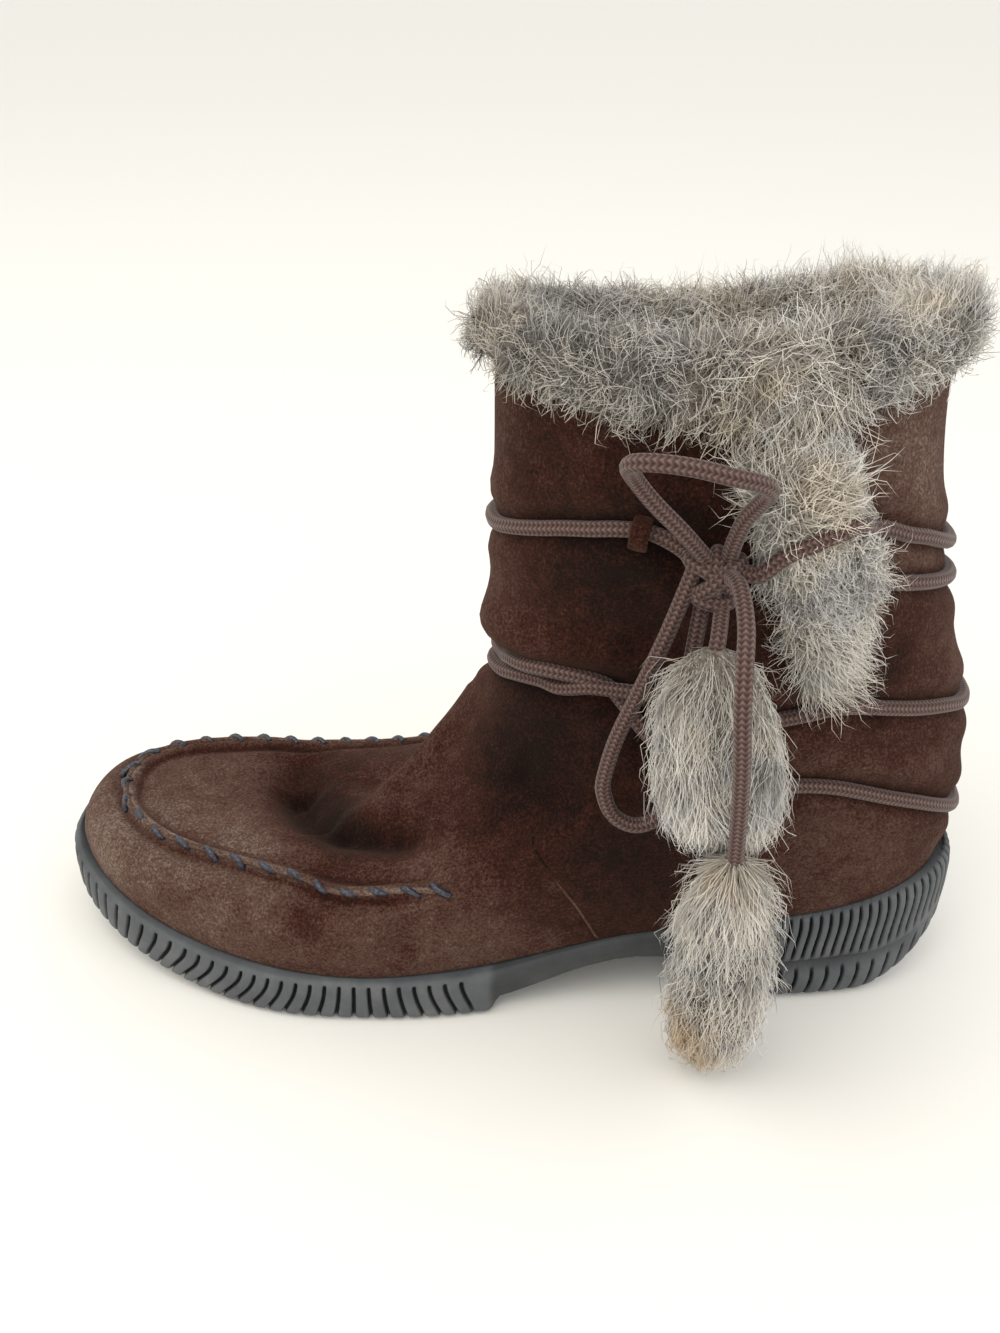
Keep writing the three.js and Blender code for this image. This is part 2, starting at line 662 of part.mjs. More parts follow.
function laceRoute(rows) {
  const height = curveThrough(rows, "bearing", "z");
  const rise = curveThrough(rows, "bearing", "off");
  const first = rows[0].bearing;
  const last = rows[rows.length - 1].bearing;
  const count = Math.ceil(Math.abs(last - first) / ROUTE_STEP);
  return Array.from({ length: count + 1 }, (_, i) => {
    const bearing = first + ((last - first) * i) / count;
    const face = shaftFace(bearing, height(bearing));
    return face.point.addScaledVector(face.normal, CORD / 2 + LACE_CLEARANCE + rise(bearing));
  });
}

function laceStrand(rows, diameter) {
  return toSolid(cordAlong(laceRoute(rows), diameter, WRAP_SIDES));
}

// A tapered lock of fur from its root to its tip
function furLock(root, tip, width) {
  const along = tip.clone().sub(root);
  const lock = new THREE.ConeGeometry(width / 2, along.length(), LOCK_SIDES);
  lock.translate(0, along.length() / 2, 0);
  const upright = new THREE.Vector3(0, 1, 0);
  lock.applyQuaternion(new THREE.Quaternion().setFromUnitVectors(upright, along.normalize()));
  lock.translate(root.x, root.y, root.z);
  return toSolid(lock);
}

function cuffFrame(angle) {
  const top = UPPER_RINGS.length - 1;
  const rim = upperPoint(top, angle);
  const up = rim.clone().sub(upperPoint(top - CUFF_LEAN_SPAN, angle)).normalize();
  return { rim, up, out: upperNormal(top - CUFF_BELOW_RIM, angle) };
}

// Above the rim the pile stands highest on the outer side and at the back
function cuffRise(up, out) {
  const crest = 1 + CUFF_CREST.outer * Math.max(out.y, 0) + CUFF_CREST.back * Math.max(-out.x, 0);
  return up > CUFF_CREST_FROM ? CUFF_CREST_FROM + (up - CUFF_CREST_FROM) * crest : up;
}
function cuffPoint(angle, out, up) {
  const at = cuffFrame(angle);
  return at.rim.addScaledVector(at.out, out).addScaledVector(at.up, cuffRise(up, at.out));
}

function cuffLock(angle, row) {
  const root = cuffPoint(angle, row.root.out, row.root.up);
  const tip = cuffPoint(angle, row.tip.out, row.tip.up);
  return furLock(root, tip, CUFF_LOCK_WIDTH);
}

function cuffGeometry() {
  const angles = turnAngles(CUFF_COLUMNS);
  const rings = CUFF_SECTION.map((corner) => angles.map((angle) => {
    return cuffPoint(angle, corner.out, corner.up);
  }));
  let cuff = toSolid(skin(rings, true));
  for (const angle of turnAngles(CUFF_LOCKS)) {
    cuff = cuff.add(cuffLock(angle, HANGING_LOCK));
    cuff = cuff.add(cuffLock(angle + CUFF_LOCK_TURN, STANDING_LOCK));
  }
  return toGeometry(cuff);
}

function placketGeometry() {
  const rings = PLACKET_ROWS.map((row) => {
    const faces = PLACKET_ACROSS.map((f) => outerFace(row.rear + (row.front - row.rear) * f, row.z));
    const under = faces.map((face) => face.point.clone().addScaledVector(face.normal, 2 * GAP));
    const over = faces.map((face, i) => {
      const edge = i === 0 || i === PLACKET_ACROSS.length - 1;
      return face.point.clone().addScaledVector(face.normal, edge ? row.thick * PLACKET_EDGE : row.thick);
    });
    return [...under, ...over.reverse()];
  });
  let placket = toSolid(skin(rings.reverse(), false));
  placket = placket.subtract(laceStrand(LACE_TOP, CORD + 4 * GAP));
  placket = placket.subtract(laceStrand(LACE_LONG.slice(0, PLACKET_CORD_ROWS), CORD + 4 * GAP));
  return toGeometry(placket);
}

function upperWrapGeometry() {
  return toGeometry(laceStrand(LACE_TOP, CORD));
}

function lowerWrapsGeometry() {
  const strands = [LACE_LONG, LACE_RING_FRONT, LACE_RING_BACK].map((rows) => laceStrand(rows, CORD));
  return toGeometry(strands.reduce((joined, strand) => joined.add(strand)));
}

function keeperGeometry() {
  const height = curveThrough(LACE_TOP, "bearing", "z");
  const [before, face, after] = [-KEEPER.reach, 0, KEEPER.reach].map((turn) => {
    const bearing = KEEPER.bearing + turn;
    return shaftFace(bearing, height(bearing));
  });
  const along = after.point.sub(before.point).projectOnPlane(face.normal).normalize();
  const lift = CORD / 2 + LACE_CLEARANCE;
  const bends = Array.from({ length: KEEPER.bends + 1 }, (_, i) => (Math.PI * i) / KEEPER.bends);
  const arch = (radius) => [
    new THREE.Vector2(radius, 2 * GAP),
    ...bends.map((turn) => new THREE.Vector2(Math.cos(turn) * radius, lift + Math.sin(turn) * radius)),
    new THREE.Vector2(-radius, 2 * GAP),
  ];
  const outline = new THREE.Shape([...arch(KEEPER.outside), ...arch(KEEPER.inside).reverse()]);
  const loop = new THREE.ExtrudeGeometry(outline, { depth: KEEPER.length, bevelEnabled: false });
  loop.translate(0, 0, -KEEPER.length / 2);
  loop.applyMatrix4(new THREE.Matrix4().makeBasis(face.normal.clone().cross(along), face.normal, along));
  loop.translate(face.point.x, face.point.y, face.point.z);
  return loop;
}

function knotGeometry() {
  const knot = new THREE.SphereGeometry(1, KNOT.around, KNOT.rings);
  knot.scale(KNOT.wide, KNOT.deep, KNOT.tall);
  knot.translate(KNOT.x, KNOT.y, KNOT.z);
  return knot;
}

function freeCord(route) {
  return cordAlong(route.map((p) => new THREE.Vector3(...p)), CORD, CORD_SIDES);
}

function tasselGeometry(tassel) {
  const top = new THREE.Vector3(...tassel.top);
  const tip = new THREE.Vector3(...tassel.tip);
  const profile = curveThrough(TASSEL_PROFILE, "at", "full");
  const place = (at, turn, share) => {
    const full = profile(at) * share;
    const out = new THREE.Vector3(Math.cos(turn) * tassel.wide, Math.sin(turn) * tassel.deep, 0);
    return top.clone().lerp(tip, at).addScaledVector(out, full);
  };
  const turns = turnAngles(TASSEL_SIDES);
  const rings = TASSEL_PROFILE.map((row) => turns.map((turn, i) => {
    const share = i % 2 ? TASSEL_FURROW : 1;
    return place(row.at, -turn, share);
  }));
  let tail = toSolid(skin(rings, false));
  for (let i = 0; i < tassel.locks; i += 1) {
    const turn = i * TASSEL_LOCK.turn + tassel.turn;
    const at = TASSEL_LOCK.from + TASSEL_LOCK.spread * ((i * TASSEL_LOCK.stagger) % 1);
    const root = place(at, turn, TASSEL_LOCK.rooted);
    const end = place(Math.min(at + TASSEL_LOCK.length, 1), turn, TASSEL_LOCK.flare);
    tail = tail.add(furLock(root, end, TASSEL_LOCK.width));
  }
  return toGeometry(tail);
}

function finish(name, geometry, colour, roughness) {
  const material = new THREE.MeshStandardMaterial({ color: colour, roughness, metalness: 0 });
  const mesh = new THREE.Mesh(geometry, material);
  mesh.name = name;
  return mesh;
}

const RUBBER = 0x55575b;
const SUEDE = 0x3b2620;
const FUR = 0xa39a8c;
const CORD_BROWN = 0x5a4440;

const shoe = [
  finish("outsole", outsoleGeometry(), RUBBER, 0.7),
  finish("insole", insoleGeometry(), FUR, 0.95),
  finish("upper", upperGeometry(), SUEDE, 0.95),
  finish("fur_cuff", cuffGeometry(), FUR, 1),
  finish("fur_placket", placketGeometry(), FUR, 1),
  finish("lace_keeper", keeperGeometry(), SUEDE, 0.95),
  finish("lace_upper_wrap", upperWrapGeometry(), CORD_BROWN, 0.8),
  finish("lace_lower_wraps", lowerWrapsGeometry(), CORD_BROWN, 0.8),
];
const tied = [
  finish("lace_knot", knotGeometry(), CORD_BROWN, 0.8),
  finish("bow_loop_upper", freeCord(BOW_LOOP_UPPER), CORD_BROWN, 0.8),
  finish("bow_loop_lower", freeCord(BOW_LOOP_LOWER), CORD_BROWN, 0.8),
  finish("lace_end_short", freeCord(LACE_END_SHORT), CORD_BROWN, 0.8),
  finish("lace_end_long", freeCord(LACE_END_LONG), CORD_BROWN, 0.8),
  ...TASSELS.map((tassel) => finish(tassel.name, tasselGeometry(tassel), FUR, 1)),
];

// The origin is under the middle of the shoe itself, on the floor
const box = new THREE.Box3();
shoe.forEach((mesh) => box.expandByObject(mesh));
const middle = box.getCenter(new THREE.Vector3());

const boot = new THREE.Group();
boot.name = "ankle_boot";
boot.add(...shoe, ...tied);
boot.position.set(-middle.x, -middle.y, -box.min.z);

export default boot;
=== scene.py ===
# Left ankle boot in brown suede with a fur cuff, a fur placket, a wound lace and two fur tassels
import math

import bmesh
import bpy
import numpy as np
from mathutils import Matrix, Vector
from mathutils.bvhtree import BVHTree
from mathutils.kdtree import KDTree


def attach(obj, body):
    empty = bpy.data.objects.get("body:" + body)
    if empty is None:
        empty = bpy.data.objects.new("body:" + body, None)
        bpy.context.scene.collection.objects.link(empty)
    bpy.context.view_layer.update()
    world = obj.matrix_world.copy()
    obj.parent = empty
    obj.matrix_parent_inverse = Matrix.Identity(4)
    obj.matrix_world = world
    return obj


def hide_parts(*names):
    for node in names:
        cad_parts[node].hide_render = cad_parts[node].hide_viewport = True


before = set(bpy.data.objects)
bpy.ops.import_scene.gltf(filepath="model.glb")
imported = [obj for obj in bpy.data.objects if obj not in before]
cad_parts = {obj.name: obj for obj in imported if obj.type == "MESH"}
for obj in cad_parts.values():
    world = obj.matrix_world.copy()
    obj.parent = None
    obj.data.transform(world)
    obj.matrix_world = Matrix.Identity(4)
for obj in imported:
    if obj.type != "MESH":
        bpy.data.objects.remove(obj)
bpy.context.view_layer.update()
bpy.context.scene.view_settings.view_transform = "Standard"
bpy.ops.object.select_all(action="DESELECT")
chance = np.random.default_rng(11)

# Boot sizes are millimetres from the back of the heel, the middle line and the floor
heelToMiddle = np.array([-137.12, -3.137, 0.0])
mm = 0.001  # in metres, the frame's unit


def toFrame(points):
    return (np.asarray(points, float) + heelToMiddle) * mm


def toBoot(points):
    return np.asarray(points, float) * 1000 - heelToMiddle


def unit(rows):
    rows = np.asarray(rows, float)
    return rows / np.maximum(np.linalg.norm(rows, axis=-1, keepdims=True), 1e-9)


# Camera at the photograph's angle
view = {"target": (139, 8, 99), "distance": 372, "azimuth": -2.5, "elevation": 30.5, "roll": 0.6,
        "focal": 1300, "tall": 1333, "sensor": 36}


def aimCamera():
    az, el, roll = (math.radians(view[k]) for k in ("azimuth", "elevation", "roll"))
    back = Vector((math.sin(az) * math.cos(el), math.cos(az) * math.cos(el), math.sin(el)))
    right = Vector((-math.cos(az), math.sin(az), 0))
    up = back.cross(right)
    turned = right * math.cos(roll) + up * math.sin(roll)
    right, up = turned, up * math.cos(roll) - right * math.sin(roll)
    spot = Vector(toFrame(view["target"])) + back * view["distance"] * mm
    data = bpy.data.cameras.new("camera")
    data.sensor_width = view["sensor"]
    data.lens = view["focal"] / view["tall"] * view["sensor"]
    data.clip_start = 0.01
    camera = bpy.data.objects.new("camera", data)
    turn = Matrix((right, up, back)).transposed().to_4x4()
    camera.matrix_world = Matrix.Translation(spot) @ turn
    bpy.context.scene.collection.objects.link(camera)
    bpy.context.scene.camera = camera


aimCamera()


# Materials
def linear(code):
    parts = [int(code[k:k + 2], 16) / 255 for k in (1, 3, 5)]
    return tuple(c / 12.92 if c <= 0.04045 else ((c + 0.055) / 1.055) ** 2.4 for c in parts) + (1.0,)


def addNode(tree, kind, settings=(), links=()):
    made = tree.nodes.new("ShaderNode" + kind)
    for key, value in dict(settings).items():
        if isinstance(key, int) or key in made.inputs:
            made.inputs[key].default_value = value
        else:
            setattr(made, key, value)
    for key, source in dict(links).items():
        tree.links.new(source, made.inputs[key])
    return made


def startMaterial(name, surface):
    material = bpy.data.materials.new(name)
    material.use_nodes = True
    tree = material.node_tree
    tree.nodes.clear()
    shader = addNode(tree, "BsdfPrincipled", surface)
    out = addNode(tree, "OutputMaterial")
    tree.links.new(shader.outputs[0], out.inputs[0])
    return material, tree, shader


def setRamp(ramp, stops):
    elements = ramp.color_ramp.elements
    while len(elements) < len(stops):
        elements.new(0.5)
    for element, (at, code) in zip(elements, stops):
        element.position = at
        element.color = linear(code)


def perMetre(size):  # texture scale for a pattern of that many millimetres
    return 1000 / size


# Brushed suede: no gloss, a short nap brushed paler and darker in patches; the tone attribute also darkens it
# with painted shade in creases, in the vamp fold and beside the lace, and lightens it with painted highlights
def makeSuede():
    material, tree, shader = startMaterial("brown suede", {
        "Roughness": 0.95, "Specular IOR Level": 0.12, "Sheen Weight": 0.14, "Sheen Roughness": 0.55,
        "Sheen Tint": linear("#b79a88")})
    place = addNode(tree, "TexCoord")
    at = place.outputs["Object"]
    nap = addNode(tree, "TexNoise", {"Scale": perMetre(0.8), "Detail": 4.0, "Roughness": 0.75},
                  {"Vector": at})
    brushed = addNode(tree, "TexNoise", {"Scale": perMetre(6), "Detail": 4.0, "Roughness": 0.6,
                                         "Distortion": 0.6}, {"Vector": at})
    patches = addNode(tree, "TexNoise", {"Scale": perMetre(38), "Detail": 2.0, "Distortion": 0.4},
                      {"Vector": at})
    # the tone attribute: worn nap, and painted shade and painted highlights laid on the upper
    tone = addNode(tree, "Attribute", {"attribute_name": "tone"})
    level = tone.outputs["Fac"]
    for pattern, share in ((nap, 1.3), (brushed, 0.45), (patches, 0.5)):
        part = addNode(tree, "Math", {"operation": "MULTIPLY_ADD", 1: share, 2: -share / 2},
                       {0: pattern.outputs[0]})
        level = addNode(tree, "Math", {"operation": "ADD"}, {0: level, 1: part.outputs[0]}).outputs[0]
    ramp = addNode(tree, "ValToRGB", {}, {0: level})
    setRamp(ramp, [(0.0, "#0f0503"), (0.3, "#371a12"), (0.62, "#59433a"), (1.0, "#8f8076")])
    tree.links.new(ramp.outputs[0], shader.inputs["Base Color"])
    fine = addNode(tree, "Bump", {"Strength": 0.7, "Distance": 0.0007}, {"Height": nap.outputs[0]})
    soft = addNode(tree, "Bump", {"Strength": 0.35, "Distance": 0.0012},
                   {"Height": brushed.outputs[0], "Normal": fine.outputs[0]})
    tree.links.new(soft.outputs[0], shader.inputs["Normal"])
    return material


suede = makeSuede()


# Moulded rubber: matt, a little dusty; the groove attribute mixes in near black, a painted shade down in the
# grooves, across the waist and in the heel's crescent
def makeRubber():
    material, tree, shader = startMaterial("grey rubber", {"Roughness": 0.58, "Specular IOR Level": 0.4})
    place = addNode(tree, "TexCoord")
    at = place.outputs["Object"]
    dust = addNode(tree, "TexNoise", {"Scale": perMetre(14), "Detail": 5.0, "Roughness": 0.65},
                   {"Vector": at})
    grit = addNode(tree, "TexNoise", {"Scale": perMetre(0.7), "Detail": 2.0}, {"Vector": at})
    ramp = addNode(tree, "ValToRGB", {}, {0: dust.outputs[0]})
    setRamp(ramp, [(0.25, "#424447"), (0.55, "#55585b"), (0.8, "#6c6d6c")])
    # painted shade: near black where the groove attribute is high
    groove = addNode(tree, "Attribute", {"attribute_name": "groove"})
    deep = addNode(tree, "Mix", {"data_type": "RGBA", 7: linear("#070708")},
                   {0: groove.outputs["Fac"], 6: ramp.outputs[0]})
    tree.links.new(deep.outputs[2], shader.inputs["Base Color"])
    bump = addNode(tree, "Bump", {"Strength": 0.25, "Distance": 0.0003}, {"Height": grit.outputs[0]})
    tree.links.new(bump.outputs[0], shader.inputs["Normal"])
    return material


rubber = makeRubber()


# Pile fur: fine hairs, grey and dense at the root, pale at the tip, with warm tan patches
def makeFur():
    material, tree, shader = startMaterial("pile fur", {
        "Roughness": 0.48, "Specular IOR Level": 0.5, "Sheen Weight": 0.2, "Sheen Roughness": 0.5})
    place = addNode(tree, "TexCoord")
    hair = addNode(tree, "Attribute", {"attribute_name": "hair"})
    patch = addNode(tree, "TexNoise", {"Scale": perMetre(16), "Detail": 3.0, "Distortion": 0.5},
                    {"Vector": place.outputs["Object"]})
    ramp = addNode(tree, "ValToRGB", {}, {0: patch.outputs[0]})
    setRamp(ramp, [(0.3, "#d3d3d4"), (0.5, "#fbf9f4"), (0.72, "#fff5e4")])
    shade = addNode(tree, "Mix", {"data_type": "RGBA", "blend_type": "MULTIPLY", 0: 1.0},
                    {6: hair.outputs["Color"], 7: ramp.outputs[0]})
    tree.links.new(shade.outputs[2], shader.inputs["Base Color"])
    through = addNode(tree, "BsdfTranslucent", {}, {"Color": shade.outputs[2]})
    both = addNode(tree, "MixShader", {0: 0.15}, {1: shader.outputs[0], 2: through.outputs[0]})
    tree.links.new(both.outputs[0], tree.nodes["Material Output"].inputs[0])
    return material


fur = makeFur()


# The felted ground that the hairs grow from, seen only between them
def makeFurGround():
    material, tree, shader = startMaterial("fur ground", {"Roughness": 1.0, "Specular IOR Level": 0.05})
    place = addNode(tree, "TexCoord")
    felt = addNode(tree, "TexNoise", {"Scale": perMetre(1.4), "Detail": 4.0},
                   {"Vector": place.outputs["Object"]})
    ramp = addNode(tree, "ValToRGB", {}, {0: felt.outputs[0]})
    setRamp(ramp, [(0.3, "#4a443e"), (0.55, "#776f66"), (0.8, "#9b9388")])
    tree.links.new(ramp.outputs[0], shader.inputs["Base Color"])
    bump = addNode(tree, "Bump", {"Strength": 0.9, "Distance": 0.0012}, {"Height": felt.outputs[0]})
    tree.links.new(bump.outputs[0], shader.inputs["Normal"])
    return material


furGround = makeFurGround()


# Short pile lining: a woolly cut pile, warm grey, painted darker between its tufts as painted shade
def makeLining():
    material, tree, shader = startMaterial("pile lining", {
        "Roughness": 1.0, "Specular IOR Level": 0.05, "Sheen Weight": 0.3, "Sheen Roughness": 0.6})
    place = addNode(tree, "TexCoord")
    at = place.outputs["Object"]
    tufts = addNode(tree, "TexVoronoi", {"Scale": perMetre(3.2), "Randomness": 1.0}, {"Vector": at})
    fleece = addNode(tree, "TexNoise", {"Scale": perMetre(1.1), "Detail": 4.0}, {"Vector": at})
    # painted shade: darker between the tufts, where the bump sinks
    level = addNode(tree, "Math", {"operation": "MULTIPLY_ADD", 1: -0.5},
                    {0: tufts.outputs[0], 2: fleece.outputs[0]})
    ramp = addNode(tree, "ValToRGB", {}, {0: level.outputs[0]})
    setRamp(ramp, [(0.1, "#5b534b"), (0.4, "#8b8378"), (0.7, "#b5ada0")])
    tree.links.new(ramp.outputs[0], shader.inputs["Base Color"])
    bump = addNode(tree, "Bump", {"Strength": 1.0, "Distance": 0.002}, {"Height": level.outputs[0]})
    tree.links.new(bump.outputs[0], shader.inputs["Normal"])
    return material


lining = makeLining()


# Braided polyester lace: plaits that cross in small chevrons, from the UV map that runs along the cord.
# The plaits are drawn about one and a half times as coarse as the real ones, so that they still show.
def makeLace():
    material, tree, shader = startMaterial("braided lace", {
        "Roughness": 0.72, "Specular IOR Level": 0.3, "Sheen Weight": 0.2, "Sheen Roughness": 0.4})
    uv = addNode(tree, "UVMap", {"uv_map": "run"})
    parts = addNode(tree, "SeparateXYZ", {}, {0: uv.outputs[0]})
    column = addNode(tree, "Math", {"operation": "MULTIPLY", 1: 7.0}, {0: parts.outputs[0]})
    fold = addNode(tree, "Math", {"operation": "PINGPONG", 1: 0.5}, {0: column.outputs[0]})
    along = addNode(tree, "Math", {"operation": "MULTIPLY", 1: 19.0}, {0: parts.outputs[1]})
    slant = addNode(tree, "Math", {"operation": "MULTIPLY_ADD", 1: 7.0},
                    {0: fold.outputs[0], 2: along.outputs[0]})
    plait = addNode(tree, "Math", {"operation": "SINE"}, {0: slant.outputs[0]})
    # The colour darkens in the valleys between the plait columns and pales on the plaits' crests: painted
    # shade and painted highlight, besides the bump
    valley = addNode(tree, "Math", {"operation": "MULTIPLY_ADD", 1: 0.7, 2: 0.3}, {0: fold.outputs[0]})
    level = addNode(tree, "Math", {"operation": "MULTIPLY_ADD", 1: 0.19},
                    {0: plait.outputs[0], 2: valley.outputs[0]})
    ramp = addNode(tree, "ValToRGB", {}, {0: level.outputs[0]})
    setRamp(ramp, [(0.1, "#291916"), (0.45, "#4c3732"), (0.85, "#7a625b")])
    tree.links.new(ramp.outputs[0], shader.inputs["Base Color"])
    bump = addNode(tree, "Bump", {"Strength": 0.8, "Distance": 0.0004}, {"Height": level.outputs[0]})
    tree.links.new(bump.outputs[0], shader.inputs["Normal"])
    return material


lace = makeLace()


# Waxed thread: dark blue-grey with a soft shine along its turns
def makeThread():
    material, tree, shader = startMaterial("waxed thread", {"Roughness": 0.36, "Specular IOR Level": 0.55})
    place = addNode(tree, "TexCoord")
    ply = addNode(tree, "TexNoise", {"Scale": perMetre(0.8), "Detail": 2.0},
                  {"Vector": place.outputs["Object"]})
    ramp = addNode(tree, "ValToRGB", {}, {0: ply.outputs[0]})
    setRamp(ramp, [(0.35, "#14141a"), (0.7, "#434857")])
    tree.links.new(ramp.outputs[0], shader.inputs["Base Color"])
    bump = addNode(tree, "Bump", {"Strength": 0.4, "Distance": 0.0002}, {"Height": ply.outputs[0]})
    tree.links.new(bump.outputs[0], shader.inputs["Normal"])
    return material


thread = makeThread()
print("materials ready")


# Mesh helpers
def smoothRoute(points, step):
    points = np.asarray(points, float)
    ends = np.vstack([2 * points[0] - points[1], points, 2 * points[-1] - points[-2]])
    rows = []
    for k in range(1, len(ends) - 2):
        a, b, c, d = ends[k - 1:k + 3]
        f = np.linspace(0, 1, 24, endpoint=False)[:, None]
        bend, twist = 2 * a - 5 * b + 4 * c - d, 3 * b - a - 3 * c + d
        rows.append(0.5 * (2 * b + (c - a) * f + bend * f ** 2 + twist * f ** 3))
    dense = np.vstack(rows + [points[-1:]])
    walked = np.concatenate([[0], np.cumsum(np.linalg.norm(np.diff(dense, axis=0), axis=1))])
    count = max(int(round(walked[-1] / step)), 3)
    even = np.linspace(0, walked[-1], count + 1)
    return np.column_stack([np.interp(even, walked, dense[:, k]) for k in range(3)]), walked[-1]


def meshPiece(name, points, faces, materials, uvs=None):
    mesh = bpy.data.meshes.new(name)
    mesh.from_pydata(np.asarray(points).tolist(), [], [list(face) for face in faces])
    mesh.polygons.foreach_set("use_smooth", np.ones(len(mesh.polygons), bool))
    if uvs is not None:
        layer = mesh.uv_layers.new(name="run")
        layer.data.foreach_set("uv", np.asarray(uvs, np.float32).ravel())
    mesh.update()
    piece = bpy.data.objects.new(name, mesh)
    bpy.context.scene.collection.objects.link(piece)
    for material in materials:
        mesh.materials.append(material)
    return piece


def addTone(piece, name, values):
    layer = piece.data.attributes.new(name, "FLOAT", "POINT")
    layer.data.foreach_set("value", np.asarray(values, np.float32))


def ringFaces(rings, count):  # four-sided faces between rings of as many points each
    faces = []
    for r in range(rings - 1):
        a, b = r * count, (r + 1) * count
        faces += [(a + i, a + (i + 1) % count, b + (i + 1) % count, b + i) for i in range(count)]
    return faces


# A closed tube along a route in boot millimetres; its UV map counts turns round it and diameters along it
def tube(route, look):
    radius, sides = look["radius"], look["sides"]
    line, length = smoothRoute(route, look["step"])
    count = len(line)
    ahead = unit(np.gradient(line, axis=0))
    side = np.zeros_like(line)
    start = np.cross(ahead[0], (0.0, 0.0, 1.0))
    side[0] = unit(start if np.linalg.norm(start) > 0.1 else np.cross(ahead[0], (1.0, 0.0, 0.0)))
    for k in range(1, count):
        side[k] = unit(side[k - 1] - ahead[k] * (side[k - 1] @ ahead[k]))
    up = np.cross(ahead, side)
    turns = np.arange(sides) * 2 * math.pi / sides
    ring = np.cos(turns)[None, :, None] * side[:, None] + np.sin(turns)[None, :, None] * up[:, None]
    points = np.vstack([(line[:, None] + ring * radius).reshape(-1, 3), line[:1], line[-1:]])
    faces, uvs = ringFaces(count, sides), []
    run = np.linspace(0, length / (2 * radius), count)
    for r in range(count - 1):
        for i in range(sides):
            u0, u1 = i / sides, (i + 1) / sides
            uvs += [(u0, run[r]), (u1, run[r]), (u1, run[r + 1]), (u0, run[r + 1])]
    low, high = count * sides, count * sides + 1
    last = (count - 1) * sides
    for i in range(sides):
        j = (i + 1) % sides
        faces += [(low, j, i), (high, last + i, last + j)]
        uvs += [(i / sides, 0)] * 3 + [(i / sides, run[-1])] * 3
    return points, faces, uvs, line, length


def joinTubes(name, routes, look, material):
    points, faces, uvs = [], [], []
    for route in routes:
        p, f, u, _, _ = tube(route, look)
        shift = sum(len(rows) for rows in points)
        points.append(p)
        faces += [tuple(v + shift for v in face) for face in f]
        uvs += u
    return meshPiece(name, toFrame(np.vstack(points)), faces, [material], uvs)


def editAll(piece, work, **settings):  # one edit-mode operator on the whole piece
    bpy.ops.object.select_all(action="DESELECT")
    bpy.context.view_layer.objects.active = piece
    piece.select_set(True)
    bpy.ops.object.mode_set(mode="EDIT")
    bpy.ops.mesh.select_all(action="SELECT")
    work(**settings)
    bpy.ops.object.mode_set(mode="OBJECT")


def copyNode(node, name):
    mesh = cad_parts[node].data.copy()
    mesh.name = name
    mesh.materials.clear()
    piece = bpy.data.objects.new(name, mesh)
    bpy.context.scene.collection.objects.link(piece)
    editAll(piece, bpy.ops.mesh.remove_doubles, threshold=0.02 * mm)
    if mesh.has_custom_normals:
        bpy.ops.mesh.customdata_custom_splitnormals_clear()
    mesh.polygons.foreach_set("use_smooth", np.ones(len(mesh.polygons), bool))
    return piece


def toQuads(piece):
    flat = math.radians(70)
    editAll(piece, bpy.ops.mesh.tris_convert_to_quads, face_threshold=flat, shape_threshold=flat)


def soften(piece):
    modifier = piece.modifiers.new("soften", "SUBSURF")
    modifier.levels = modifier.render_levels = 3
    bpy.ops.object.modifier_apply(modifier="soften")


def vertexRows(piece, kind):
    flat = np.zeros(len(piece.data.vertices) * 3)
    piece.data.vertices.foreach_get(kind, flat)
    return flat.reshape(-1, 3)


def coords(piece):
    return vertexRows(piece, "co")


def normals(piece):
    return vertexRows(piece, "normal")


def setCoords(piece, points):
    piece.data.vertices.foreach_set("co", np.asarray(points).ravel())
    piece.data.update()


def surfaceTree(piece):
    mesh = piece.data
    return BVHTree.FromPolygons([v.co for v in mesh.vertices], [tuple(p.vertices) for p in mesh.polygons])


def nearest(points, spots):  # which of the spots lies nearest to each point
    tree = KDTree(len(spots))
    for k, spot in enumerate(spots):
        tree.insert(spot, k)
    tree.balance()
    return [tree.find(point)[1] for point in points]


def dots(a, b):
    return np.einsum("ij,ij->i", a, b)


def partWay(x, low, high):
    return np.clip((x - low) / (high - low), 0, 1)


def ease(x, low, high):
    f = partWay(x, low, high)
    return f * f * (3 - 2 * f)


def readRows(rows, x):  # a table of places and values, read between its rows
    return np.interp(x, *zip(*rows))


def band(gap, row):  # a soft band beside a line: its height, how far off it lies and its half-width
    rise, at, wide = row
    return rise * np.exp(-((gap - at) / wide) ** 2)


def nearRoute(points, route):
    # distance to a line of points, and where along it (0 to 1)
    route = np.asarray(route, float)
    lengths = np.linalg.norm(np.diff(route, axis=0), axis=1)
    walked = np.concatenate([[0], np.cumsum(lengths)])
    best = np.full(len(points), 1e9)
    where = np.zeros(len(points))
    for k in range(len(route) - 1):
        leg = route[k + 1] - route[k]
        f = np.clip((points - route[k]) @ leg / max(leg @ leg, 1e-9), 0, 1)
        gap = np.linalg.norm(points - (route[k] + f[:, None] * leg), axis=1)
        closer = gap < best
        best[closer] = gap[closer]
        where[closer] = ((walked[k] + f * lengths[k]) / walked[-1])[closer]
    return best, where


